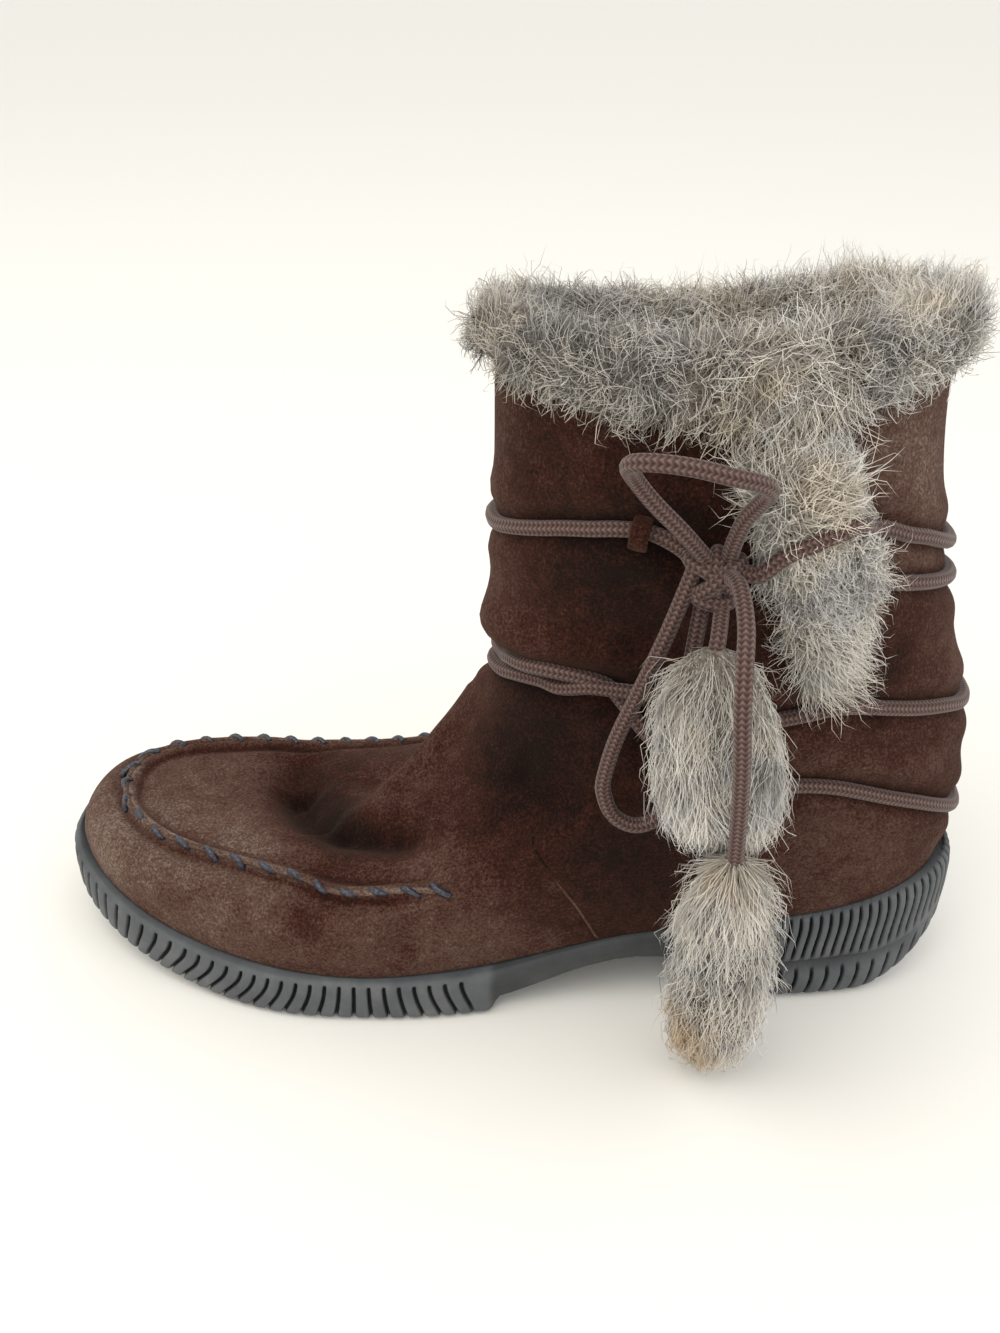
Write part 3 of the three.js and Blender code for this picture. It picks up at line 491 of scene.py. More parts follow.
# The lace's way round the ankle, each row a bearing from the toe, a height and a rise off the suede
laceWay = {"axis": 80.0, "lift": 1.5, "diameter": 4.2, "step": 5.0, "perDegree": 0.6, "outside": 200,
           "knotRear": [(84, 42.4, 147.2), (80, 43, 148.8)],
           "knotFront": [(90.5, 40, 148.4), (87, 41.6, 147)]}
laceTop = [
    (-264, 150, 6.5), (-247, 156, 8), (-234, 160, 6.5), (-222, 156, 1), (-203, 149, 0), (-180, 141, 0),
    (-135, 142, 0), (-90, 141, 0), (-45, 139, 0), (0, 143, 0), (31, 151, 0), (55, 155, 0), (71, 150, 1)]
laceLong = [
    (100, 142, 0), (112, 141, 0), (126, 141, 0), (140, 141, 0), (157, 137, 0), (180, 131, 0), (225, 126, 0),
    (270, 118, 0), (315, 111, 0), (360, 103, 0), (375, 107, 0), (393, 110, 0), (405, 105, 0), (417, 98, 0),
    (435, 88, 0), (455, 82, 0), (478, 81, 0), (497, 79, 0), (515, 71, 0), (540, 58, 0), (585, 66, 0),
    (630, 84, 0), (652, 91, 0), (672, 93.2, 0), (692, 93.6, 0), (712, 96.5, 0)]
laceRingFront = [
    (-85, 97, 0), (-45, 98, 0), (0, 97, 0), (18, 101, 0.5), (33, 105, 2), (45, 107.5, 2), (57, 107, 0.5),
    (75, 105, 0), (95, 102, 0)]
laceRingBack = [
    (92, 102.3, 0), (118, 103, 0), (137, 105, 0), (160, 99, 0), (180, 93, 0), (225, 94, 0), (278, 97.2, 0)]


def laceRoute(rows, tree):
    fine, _ = smoothRoute(np.asarray(rows, float) * (laceWay["perDegree"], 1.0, 1.0), laceWay["step"])
    route = []
    for turn, z, off in fine:
        bearing = math.radians(turn / laceWay["perDegree"])
        way = Vector((math.cos(bearing), math.sin(bearing), 0))
        start = Vector(toFrame((laceWay["axis"], 0, z)))
        hit, face, _, _ = tree.ray_cast(start + way * laceWay["outside"] * mm, -way)
        route.append(toBoot(hit) + np.array(face) * (laceWay["lift"] + off))
    return np.array(route)


def laceRoutes(tree):
    return [laceRoute(rows, tree) for rows in (laceTop, laceLong, laceRingFront, laceRingBack)]


print("helpers ready")


# Suede upper: the part's own shell, smoothed, with the creases of wear laid on
upperSizes = {"sharp": math.radians(60), "beneath": -0.6, "tone": 0.36, "liningFrom": 20, "coreStep": 4,
              "core": [(84, 0, 200), (82, 0, 120), (75, 0, 62), (130, 0, 45), (190, 0, 27), (250, -5, 30)]}

# Creases, each its rise (above zero a ridge, below zero a trough), its half-width and its line on the suede;
# their tone paints the troughs darker as painted shade and the ridges a little paler as scuffed nap
creaseLook = {"step": 3, "fade": 5, "least": 0.25, "tone": 0.022, "darkest": -0.1, "palest": 0.05}
creases = [
    (6.5, 5.5, [(136, -4, 92), (142, -6, 81), (148, -7, 71), (154, -5, 63), (161, -1, 55),
                (168, 4, 50), (176, 9, 47), (184.5, 11, 43.8)]),
    (2.0, 5, [(152, 12, 61), (162, 13, 52), (171, 14, 48.5), (180, 14, 45.5)]),
    (-8.5, 6.5, [(208, -14, 41), (203, -4, 41), (197, 6, 42.3), (190, 14, 44)]),
    (-5.5, 5.5, [(192, 12, 43.8), (183.5, 19, 44.7), (171.5, 23, 47.2), (157, 27, 50.5)]),
    (-5.0, 8, [(206, -30, 40), (205, -19, 41), (201, -6, 41)]),
    (-2.0, 6, [(172, -14, 49), (178, -8, 46), (186, -5, 43.5)]),
    (-2.0, 4.5, [(141, -8, 103), (138, 9, 104), (122, 23, 101), (105, 31, 97)]),
    (2.6, 7, [(143, -8, 113), (141, 8, 115), (124, 25, 112), (106, 33, 109)]),
    (-1.6, 6, [(136, 20, 74), (124, 30, 72), (112, 34, 76)]),
    (-2.4, 10, [(108, 34, 126), (98, 35, 121), (88, 36, 122)]),
    (-2.8, 4.5, [(195, 41, 39), (194.5, 46, 34), (194, 49, 27)]),
    (0.9, 5, [(204, 40, 38), (204, 47, 31), (203, 49, 25)]),
    (-2.5, 5, [(168, 46, 39), (164, 49, 33), (160, 48, 23)]),
    (0.9, 6, [(178, 45, 38), (175, 49, 31), (172, 50, 24)]),
    (-1.3, 4, [(50, 34, 95), (30, 30, 92), (12, 19, 88)]),
    (1.0, 5, [(48, 34, 89), (30, 30, 85), (11, 19, 80)]),
    (1.2, 6, [(36, 27, 122), (24, 17, 121), (17, 0, 119)]),
    (-0.9, 8, [(130, 24, 176), (126, 26, 160), (128, 25, 148)]),
    (0.8, 9, [(112, 33, 172), (108, 34, 158), (112, 33, 140)]),
    (-2.2, 6, [(150, -26, 66), (138, -30, 72), (120, -32, 78)]),
    (1.8, 8, [(140, -24, 84), (126, -30, 88), (108, -32, 90)]),
    (-1.3, 5, [(60, -34, 92), (36, -32, 88), (16, -22, 84)]),
]

# Toe seam, from the inner side round the toe to the outer side; its lip and furrow are bands beside it, the
# furrow's tone a painted shade
seamPress = {"step": 2, "fade": 14, "lip": (1.6, 0, 1.4), "furrow": (-0.8, 3.9, 1.7),
             "lipTone": (0.2, 0, 1.2), "furrowTone": (-0.24, 2.9, 1.1)}
toeSeam = [
    (149.4, -32.9, 47.8), (168.7, -35, 41.8), (187, -35.5, 39.4), (203.9, -35.4, 39.2), (219, -34.1, 40),
    (231.9, -31.6, 41), (242.6, -28.4, 41.8), (251, -23.8, 42.2), (256.4, -16.2, 42.4), (257.4, -6.5, 42.6),
    (254.9, 3.4, 42.9), (249.2, 11.4, 42.7), (241, 18.2, 42.4), (231.5, 22.9, 41.8), (219, 27, 40.9),
    (204.5, 31.4, 40.8), (195, 34.6, 40.3), (187, 38, 39.9), (178, 40.6, 41), (166, 41.2, 43),
    (154.1, 43, 44.9)]

# The wound lace presses the suede in, and it swells a little on both sides; the suede next to it is painted
# darker, a painted shade
lacePress = {"flat": 1.2, "dent": (-1.5, 0, 3.4), "swell": (1.1, 9, 4.5), "tone": (-0.16, 0, 2.6)}

# Spots of tone, each a place, a reach and a tone (above zero paler): the nap worn paler over the toe and the
# vamp's sides, and painted light elsewhere, painted shade in the vamp fold's pocket and down the shaft's
# middle and front, painted highlights on the fold's ridge, the shaft's left edge and the back
wearAndPaintedLightSpots = [
    ((258, 8, 38), 32, 0.23), ((226, 4, 42), 32, 0.15), ((214, 41, 36), 28, 0.17),
    ((158, 46, 36), 28, 0.08), ((201, -3, 42), 14, -0.3), ((192, 12, 43.5), 11, -0.36),
    ((175, 22, 46.5), 11, -0.22), ((204, -22, 41), 11, -0.14), ((173, 9, 50), 9, 0.1),
    ((132, 20, 79), 23, -0.3), ((112, 32, 134), 28, -0.25), ((99, 35, 160), 24, -0.16),
    ((129, 24, 166), 22, -0.06), ((139, 11, 148), 15, 0.1), ((106, 38, 52), 28, -0.2),
    ((80, 37, 48), 24, -0.14), ((104, 34, 92), 22, -0.16), ((36, 24, 170), 26, 0.22),
    ((32, 26, 118), 18, -0.06), ((30, 32, 56), 30, 0.1)]


def makeUpper():
    piece = copyNode("upper", "suede_upper")
    toQuads(piece)
    shape = bmesh.new()
    shape.from_mesh(piece.data)
    held = shape.edges.layers.float.new("crease_edge")
    for edge in shape.edges:
        beneath = min(face.normal.z for face in edge.link_faces) < upperSizes["beneath"]
        edge[held] = float(beneath and edge.calc_face_angle(0) > upperSizes["sharp"])
    shape.to_mesh(piece.data)
    shape.free()
    soften(piece)
    return piece


def splitSkins(piece):  # each point, the way out of the boot there and whether it is on the outer skin
    points = toBoot(coords(piece))
    facing = normals(piece)
    core, _ = smoothRoute(upperSizes["core"], upperSizes["coreStep"])
    outer = dots(facing, points - core[nearest(points, core)]) > 0
    return points, np.where(outer[:, None], facing, -facing), outer


upper = makeUpper()
lacePaths = laceRoutes(surfaceTree(upper))


def creaseUpper(piece):
    points, outward, outer = splitSkins(piece)
    move = np.zeros(len(points))
    tone = np.full(len(points), upperSizes["tone"])
    for rise, wide, line in creases:
        gap, where = nearRoute(points, smoothRoute(line, creaseLook["step"])[0])
        fade = np.clip(np.minimum(where, 1 - where) * creaseLook["fade"], creaseLook["least"], 1)
        amount = rise * fade * band(gap, (1, 0, wide))
        move += amount
        # painted shade in the troughs; the ridges a little paler as scuffed nap
        tone += np.clip(amount * creaseLook["tone"], creaseLook["darkest"], creaseLook["palest"])
    for path in lacePaths:
        gap, _ = nearRoute(points, path)
        near = np.clip(gap - lacePress["flat"], 0, None)
        move += band(near, lacePress["dent"]) + band(gap, lacePress["swell"])
        # painted shade on the suede beside the lace
        tone += band(near, lacePress["tone"])
    gap, where = nearRoute(points, smoothRoute(toeSeam, seamPress["step"])[0])
    fade = np.clip(np.minimum(where, 1 - where) * seamPress["fade"], 0, 1)
    lip = band(gap, seamPress["lip"]) + band(gap, seamPress["furrow"])
    move += np.where(outer, lip * fade, 0)
    # painted shade along the furrow beside the lip; the lip itself paler
    tone += fade * (band(gap, seamPress["lipTone"]) + band(gap, seamPress["furrowTone"]))
    # painted shade and painted highlights, with the toe's worn nap
    for at, reach, pale in wearAndPaintedLightSpots:
        tone += band(np.linalg.norm(points - np.array(at), axis=1), (pale, 0, reach))
    setCoords(piece, toFrame(points + outward * move[:, None]))
    addTone(piece, "tone", tone)
    piece.data.materials.append(suede)
    piece.data.materials.append(lining)
    inside = np.array([not all(outer[v] for v in face.vertices) for face in piece.data.polygons])
    high = np.array([face.center.z for face in piece.data.polygons]) > upperSizes["liningFrom"] * mm
    piece.data.polygons.foreach_set("material_index", (inside & high).astype(np.int32))
    piece.data.update()
    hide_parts("upper")
    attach(piece, "root")


creaseUpper(upper)
upperTree = surfaceTree(upper)
lacePaths = laceRoutes(upperTree)
# Both ends of the top turn run into the knot
lacePaths[0] = np.vstack([laceWay["knotRear"], lacePaths[0], laceWay["knotFront"]])
print("upper ready", len(upper.data.polygons))


# Wound lace, pressed into the suede
cordLook = {"radius": laceWay["diameter"] / 2, "sides": 12, "step": 1.6}
upperWrap = joinTubes("lace_round_collar", lacePaths[:1], cordLook, lace)
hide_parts("lace_upper_wrap")
lowerWraps = joinTubes("lace_round_ankle", lacePaths[1:], cordLook, lace)
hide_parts("lace_lower_wraps")
for piece in (upperWrap, lowerWraps):
    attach(piece, "root")
print("wound lace ready")


# Whip stitches over the toe seam's lip
stitches = {"pitch": 9.0, "half": 1.7, "slant": -2.4, "proud": 1.5, "above": 4.5, "heart": (225, 10),
            "wobble": 0.35, "start": 0.6, "sunk": 0.5, "hug": 0.25, "climb": 0.2,
            "radius": 0.95, "sides": 7, "step": 0.9}

# Turned suede edges along the seams; the tone's rows are a height and how pale the nap is there
seamEdges = {
    "lip": {"every": 3, "lift": 0.4, "tone": [(0, 0.62)], "radius": 0.9, "sides": 7, "step": 1.6},
    "panel": {"every": 3, "lift": 0.0, "tone": [(26, 0.6), (43, 0.52), (54, 0.0)],
              "radius": 0.4, "sides": 7, "step": 1.6}}
panelSeam = [
    (128.2, 36, 61.5), (126.6, 40.4, 57.3), (124.3, 41.2, 54.1), (121.3, 41.1, 49.1), (118.3, 40.5, 44),
    (115.3, 39.8, 39.1), (112.1, 39, 32.9), (108.9, 37.5, 25.9), (107.4, 37, 22.5)]


def onSuede(spot):
    hit, face, _, _ = upperTree.find_nearest(Vector(toFrame(spot)))
    return toBoot(hit), np.array(face)


def seamSpot(spot):
    out = unit(spot - np.array([min(spot[0], stitches["heart"][0]), 0, stitches["heart"][1]]))
    return onSuede(spot + out * stitches["above"])


def makeEdge(name, spots, edge):
    lifts = np.full(len(spots), edge["lift"])
    lifts[[0, -1]] = -2 * edge["radius"]  # both ends dive into the suede
    route = [middle + face * lift for (middle, face), lift in zip(spots, lifts)]
    piece = joinTubes(name, [route], edge, suede)
    addTone(piece, "tone", readRows(edge["tone"], toBoot(coords(piece))[:, 2]))
    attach(piece, "root")


def makeStitches():
    line, _ = smoothRoute(toeSeam, stitches["pitch"])
    ahead = unit(np.gradient(line, axis=0))
    routes = []
    for k in range(1, len(line)):
        middle, face = seamSpot(line[k])
        across = unit(np.cross(face, ahead[k]))
        wobble = chance.uniform(-stitches["wobble"], stitches["wobble"], 2)
        high = middle + face * stitches["above"] * stitches["start"]
        top = middle + face * stitches["proud"]
        feet = []
        for way, slip in zip((-1, 1), wobble):
            slide = ahead[k] * (stitches["slant"] + slip)
            foot, out = onSuede(high + way * across * stitches["half"] + way * slide)
            above = foot + out * stitches["hug"] + (top - foot) * stitches["climb"]
            feet.append([foot - out * stitches["sunk"], above])
        routes.append(feet[0] + [top] + feet[1][::-1])
    piece = joinTubes("toe_seam_stitches", routes, stitches, thread)
    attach(piece, "root")


lip, panel = seamEdges["lip"], seamEdges["panel"]
makeEdge("toe_seam_lip", [seamSpot(spot) for spot in smoothRoute(toeSeam, lip["every"])[0]], lip)
makeEdge("panel_seam_edge", [onSuede(spot) for spot in smoothRoute(panelSeam, panel["every"])[0]], panel)
makeStitches()
print("stitches ready")


# Moulded sole: the part's plan and side, with curved grooves round the forefoot and the heel
soleSizes = {"length": 277, "round": 2.6, "columns": 1150, "fine": 6000, "rows": 30, "crowd": 1.05,
             "merge": 0.01, "archFront": 139, "heelBreast": 68, "topRings": (0.2, 1.0)}
# Plan: share of the length from the heel, outer and inner half-widths, sideways shift. Side: place along
# the boot, heights of tread and seat. Arch: place and height. Step: share of the side's height and inset.
solePlan = [
    (0, 46, 45, 0), (0.16, 41, 39.5, 0), (0.28, 38.5, 34, 0.5), (0.42, 40.5, 30, 1), (0.55, 48, 38, 1),
    (0.64, 51, 43.5, 1), (0.74, 53, 48, 0), (0.88, 49.5, 50, -3), (1, 46, 46, -8)]
soleSide = [
    (0, 23, 43), (6, 14, 41), (14, 6, 38.5), (26, 0, 35), (45, 0, 31.5), (75, 0, 28), (100, 0, 25),
    (120, 0, 20), (138, 0, 16.2), (165, 0, 14.6), (196, 0, 15), (222, 0.6, 16.6), (250, 5, 20.5),
    (268, 10.5, 26), (277, 15, 30)]
soleArch = [
    (68, -1), (70, 8), (74, 10.9), (78, 13), (84, 15.2), (90, 16.6), (96, 17), (102, 16.4), (108.5, 14.6),
    (115, 12.2), (121, 9.6), (127, 7.3), (132, 5.6), (136, 4.4), (139, -1)]
soleStep = [
    (0, 3.6), (0.03, 2.2), (0.07, 1.1), (0.14, 0.4), (0.5, 0.05), (0.8, 0.15), (0.9, 0.5), (0.96, 1.2),
    (1, 2.4)]
# Each "dark" share below is painted shade written into the groove attribute: across the concave waist, in the
# heel's crescent and in the tread bars
soleWaist = {"deep": 2.0, "shape": [(0, 1), (0.2, 1), (0.6, 0.9), (1, 0)], "rear": (-4, 14), "front": (-2, 1),
             "lip": 1.6, "lipTall": 0.12, "dark": 0.55}
heelCrescent = {"from": (2, 40), "to": (2, 18), "at": 0.41, "tall": 0.03, "widens": 0.05, "deep": 3.4,
                "dark": 0.55}
tread = {"bars": [36, 49, 154, 168, 182, 196, 210], "edge": 11, "wide": 3, "deep": 2.4, "dark": 0.6,
         "wall": (0.35, 0.6), "rings": (0.1, 0.21, 0.25, 0.6, 1.0)}

# Grooves: where along the boot, between which shares of the side's height, spacing, width and depth;
# the lean's rows are a place along the boot and how far back the groove's head stands behind its foot there
grooveBands = [
    {"from": 143, "to": 400, "low": -0.2, "high": 0.92, "pitch": 4.9, "wide": 1.0, "deep": 1.5,
     "lean": [(145, -4.6), (154, -4.6), (177, 0), (195, 5), (214, 10), (231, 10.3), (247, 6), (260, 2)]},
    {"from": -9, "to": 62, "low": 0.48, "high": 1.01, "pitch": 3.0, "wide": 0.85, "deep": 1.4,
     "lean": [(0, 1.6)]},
    {"from": -9, "to": 60, "low": -0.2, "high": 0.36, "pitch": 4.8, "wide": 0.95, "deep": 1.4,
     "lean": [(0, 2.8)]},
]
# its "dark" share is painted shade in the grooves
grooveShape = {"fade": 0.05, "ends": 2, "upright": (1, 18), "floor": 0.22, "wall": 0.78, "pillow": 0.35,
               "dark": 1.7}


def curve(rows, column):
    rows = np.asarray(rows, float)
    at, value = rows[:, 0], rows[:, column]
    ahead = np.minimum(np.arange(len(at)) + 1, len(at) - 1)
    behind = np.maximum(np.arange(len(at)) - 1, 0)
    slope = (value[ahead] - value[behind]) / (at[ahead] - at[behind])

    def read(x):
        x = np.clip(x, at[0], at[-1])
        k = np.clip(np.searchsorted(at, x) - 1, 0, len(at) - 2)
        span = at[k + 1] - at[k]
        f = (x - at[k]) / span
        rise = 3 * f ** 2 - 2 * f ** 3
        ends = f * (1 - f) ** 2 * span * slope[k] + f ** 2 * (f - 1) * span * slope[k + 1]
        return value[k] * (1 - rise) + value[k + 1] * rise + ends
    return read


planOuter, planInner, planBend = (curve(solePlan, k) for k in (1, 2, 3))
treadLine, seatLine = curve(soleSide, 1), curve(soleSide, 2)


def treadHeight(x):
    return np.maximum(treadLine(x), 0)


def underside(x):
    return np.maximum(treadHeight(x), readRows(soleArch, x))


def planPoints(turn):
    along = (1 + np.cos(turn)) / 2
    power = soleSizes["round"]
    side = np.sign(np.sin(turn)) * np.maximum(1 - np.abs(np.cos(turn)) ** power, 0) ** (1 / power)
    full = np.where(np.sin(turn) > 0, planOuter(along), planInner(along))
    return np.column_stack([along * soleSizes["length"], side * full + planBend(along)])


def grooveDepth(groove, x, share, walked):
    low, high, pitch, wide = (groove[key] for key in ("low", "high", "pitch", "wide"))
    fade, ends = grooveShape["fade"], grooveShape["ends"]
    tall = ease(share, low, low + fade) * (1 - ease(share, high - fade, high))
    within = ease(x, groove["from"], groove["from"] + ends) * (1 - ease(x, groove["to"] - ends, groove["to"]))
    lean = readRows(groove["lean"], x) * ease(walked, *grooveShape["upright"])
    centre = walked - lean * (ease(share, low, high) - 0.5)
    gap = np.abs((centre / pitch) % 1 - 0.5) * pitch
    cut = 1 - ease(gap, wide * grooveShape["floor"], wide * grooveShape["wall"])
    pillow = grooveShape["pillow"] * np.clip(1 - gap / (pitch * 0.5), 0, 1) ** 2
    # painted shade in the groove
    dark = np.minimum(cut * grooveShape["dark"], 1)
    return within * tall * (cut * groove["deep"] + pillow), within * tall * dark


def soleColumns():  # even steps round the plan, the way in from each and how far it is from the toe
    half = soleSizes["columns"]
    fineTurns = np.linspace(0, math.pi, soleSizes["fine"])
    walk = np.linalg.norm(np.diff(planPoints(fineTurns), axis=0), axis=1)
    walk = np.concatenate([[0], np.cumsum(walk)])
    turns = np.interp(np.linspace(0, walk[-1], half + 1), walk, fineTurns)
    plan = planPoints(np.concatenate([turns, 2 * math.pi - turns[-2:0:-1]]))
    ahead = unit(np.roll(plan, -1, axis=0) - np.roll(plan, 1, axis=0))
    inward = np.column_stack([-ahead[:, 1], ahead[:, 0]])
    steps = np.linalg.norm(plan - np.roll(plan, 1, axis=0), axis=1)
    run = np.cumsum(steps[1:half + 1])
    return plan, inward, np.concatenate([[0], run, run[:half - 1][::-1]])


def soleWall(plan, inward, walked):
    x = plan[:, 0]
    breast, archFront = soleSizes["heelBreast"], soleSizes["archFront"]
    behind = ease(x, *(breast + shift for shift in soleWaist["rear"]))
    before = 1 - ease(x, *(archFront + shift for shift in soleWaist["front"]))
    crescent = ease(x, *heelCrescent["from"])
    crescent = crescent * (1 - ease(x, *(breast + shift for shift in heelCrescent["to"])))
    low, seat, foot = treadHeight(x), seatLine(x), underside(x)
    rings, depths = [], []
    for f in np.linspace(0, 1, soleSizes["rows"]) ** soleSizes["crowd"]:
        z = foot + (seat - foot) * f
        share = (z - low) / (seat - low)
        inset = readRows(soleStep, share)
        inset = inset + soleWaist["deep"] * behind * before * readRows(soleWaist["shape"], share)
        inset = inset + soleWaist["lip"] * behind * before * np.clip(1 - f / soleWaist["lipTall"], 0, 1) ** 2
        tall = heelCrescent["tall"] + heelCrescent["widens"] * crescent
        hollow = crescent * band(share, (1, heelCrescent["at"], tall))
        inset = inset + heelCrescent["deep"] * hollow
        # painted shade in the crescent's hollow and across the waist
        depth = heelCrescent["dark"] * hollow + soleWaist["dark"] * behind * before
        for groove in grooveBands:
            cut, dark = grooveDepth(groove, x, share, walked)
            inset = inset + cut
            depth = np.maximum(depth, dark)
        rings.append(np.column_stack([plan + inward * inset[:, None], z]))
        depths.append(depth)
    return rings, depths


def makeSole():
    plan, inward, walked = soleColumns()
    rings, depths = soleWall(plan, inward, walked)
    count = len(plan)
    mirror = (-np.arange(count)) % count
    edge, top = rings[0], rings[-1]
    middle = (edge + edge[mirror]) / 2
    half = np.linalg.norm(edge - middle, axis=1)
    for f in tread["rings"]:
        row = edge + (middle - edge) * f
        bar = np.zeros(count)
        for at in tread["bars"]:
            gap = np.abs(row[:, 0] - at)
            bar = np.maximum(bar, 1 - ease(gap, *(tread["wide"] * side for side in tread["wall"])))
        bar *= half * f > tread["edge"]
        row[:, 2] = underside(row[:, 0]) + bar * tread["deep"]
        rings.insert(0, row)
        # painted shade in the tread bars cut across the bottom
        depths.insert(0, bar * tread["dark"])
    middle = (top + top[mirror]) / 2
    for f in soleSizes["topRings"]:
        row = top + (middle - top) * f
        row[:, 2] = seatLine(row[:, 0])
        rings.append(row)
        depths.append(np.zeros(count))
    piece = meshPiece("rubber_sole", toFrame(np.vstack(rings)), ringFaces(len(rings), count), [rubber])
    addTone(piece, "groove", np.concatenate(depths))
    editAll(piece, bpy.ops.mesh.remove_doubles, threshold=soleSizes["merge"] * mm)
    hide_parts("outsole")
    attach(piece, "root")
    return piece


sole = makeSole()
print("sole ready", len(sole.data.polygons))


# Fur: a short dense under pile and longer bent hairs over it, one mesh with the ground that they grow from
furLook = {"under": ("#8b8680", "#d4cfc8"), "over": ("#d2cec8", "#fffefc"), "tan": "#dfb473", "ground": 0.3,
           "underRings": [(0.0, 1.0)], "overRings": [(0.0, 1.0), (0.35, 0.95), (0.7, 0.75)],
           "underRadius": 0.24, "overRadius": 0.105, "vary": (0.7, 1.25), "round": 0.7, "crimp": 0.07,
           "rootShade": (0.8, 0.3), "pulled": (0.3, 1), "curled": (0.2, 1), "floor": 0.6}
palePatches = {"size": 20, "seed": 5, "level": 0.5, "share": 0.42, "loose": 0.3, "most": 1.15}
tanPatches = {"size": 34, "seed": 8, "level": 0.02, "share": 0.1, "loose": 0.08, "most": 0.85}
waves = {"count": 6, "bend": 3.8, "level": 2.6}
upward = np.array([0, 0, 1])


def wander(points, size, seed):  # a smooth random way at each point, turning over about that many millimetres
    dice = np.random.default_rng(seed)
    total = np.zeros((len(points), 3))
    for _ in range(waves["count"]):
        wave = dice.normal(size=(3, 3)) * waves["bend"] / size
        total += np.sin(points @ wave.T + dice.uniform(0, 2 * math.pi, 3))
    return total / waves["level"]


def swirls(roots, rows, loose):  # each row a size, a seed and a share
    drift = sum(wander(roots, size, seed) * share for size, seed, share in rows)
    return drift + chance.normal(0, loose, roots.shape)


def sampleSkin(piece, count, keep, slot=0):  # even random roots on the kept faces, and the way out at each
    mesh = piece.data
    mesh.calc_loop_triangles()
    corners = np.array([t.vertices for t in mesh.loop_triangles])
    points, facing = toBoot(coords(piece)), normals(piece)
    a, b, c = (points[corners[:, k]] for k in range(3))
    area = np.linalg.norm(np.cross(b - a, c - a), axis=1)
    area = area * np.array([t.material_index == slot for t in mesh.loop_triangles])
    area = area * keep((a + b + c) / 3, unit(np.cross(b - a, c - a)))
    pick = chance.choice(len(area), count, p=area / area.sum())
    u, v = chance.random(count), chance.random(count)
    over = u + v > 1
    u[over], v[over] = 1 - u[over], 1 - v[over]
    w = 1 - u - v
    at = a[pick] * w[:, None] + b[pick] * u[:, None] + c[pick] * v[:, None]
    n = [facing[corners[pick, k]] for k in range(3)]
    return at, unit(n[0] * w[:, None] + n[1] * u[:, None] + n[2] * v[:, None])


def clump(roots, tips, size, pull):
    # hairs near each other lean to one tip
    heads = chance.choice(len(roots), max(int(len(roots) / size), 1), replace=False)
    mine = heads[nearest(roots, roots[heads])]
    share = pull * chance.uniform(*furLook["pulled"], len(roots))[:, None]
    return tips + (tips[mine] - tips) * share


def away(lean, facing, least):
    # no hair grows back into what it stands on
    short = np.maximum(least - dots(lean, facing), 0)[:, None]
    return unit(lean + facing * short)


def curl(facing, size):
    # each hair bows sideways its own way
    loose = chance.normal(size=facing.shape)
    loose -= facing * dots(loose, facing)[:, None]
    return unit(loose) * chance.uniform(*furLook["curled"], len(facing))[:, None] * size


def hairs(layer, roots, tips, facing, sag, paleness, tanness):
    count = len(roots)
    rings = furLook[layer + "Rings"]
    ahead = unit(tips - roots)
    side = unit(np.cross(ahead, chance.normal(size=(count, 3))))
    up = np.cross(ahead, side)
    crimp = side * np.linalg.norm(tips - roots, axis=1)[:, None] * furLook["crimp"]
    thick = furLook[layer + "Radius"] * chance.uniform(*furLook["vary"], count)[:, None]
    pale, warm = palePatches, tanPatches
    mix = pale["level"] + pale["share"] * wander(roots, pale["size"], pale["seed"])[:, 0]
    mix = np.clip(mix + chance.normal(0, pale["loose"], count) + paleness, 0, pale["most"])[:, None]
    tan = warm["level"] + warm["share"] * wander(roots, warm["size"], warm["seed"])[:, 1] + tanness
    tan = np.clip(tan + chance.normal(0, warm["loose"], count), 0, warm["most"])[:, None]
    codes = (*furLook[layer], furLook["tan"])
    rootColour, paleColour, tanColour = (np.array(linear(code)[:3]) for code in codes)
    tipColour = rootColour * (1 - mix) + paleColour * mix
    tipColour = tipColour * (1 - tan) + tanColour * tan
    shade, paler = furLook["rootShade"]
    rootColour = rootColour * (shade + paler * mix)
    rows, colours, ways = [], [], []
    for at, share in rings:
        spot = roots + (tips - roots) * at + sag * 4 * at * (1 - at) + crimp * math.sin(2 * math.pi * at)
        for k in range(3):
            turn = 2 * math.pi * k / 3
            out = side * math.cos(turn) + up * math.sin(turn)
            rows.append(spot + out * thick * share)
            ways.append(unit(facing + out * furLook["round"]))
            colours.append(rootColour * (1 - at) + tipColour * at)
    points = np.stack(rows + [tips], axis=1).reshape(-1, 3)
    shades = np.stack(colours + [tipColour], axis=1).reshape(-1, 3)
    ways = np.stack(ways + [facing], axis=1).reshape(-1, 3)
    size = 3 * len(rings) + 1
    first = np.arange(count)[:, None] * size
    faces = (first + np.array([[0, 2, 1]])).tolist()
    for r in range(len(rings) - 1):
        for k in range(3):
            j = (k + 1) % 3
            faces += (first + np.array([[3 * r + k, 3 * r + j, 3 * r + 3 + j, 3 * r + 3 + k]])).tolist()
    last = 3 * (len(rings) - 1)
    for k in range(3):
        faces += (first + np.array([[last + k, last + (k + 1) % 3, size - 1]])).tolist()
    return points, faces, shades, ways


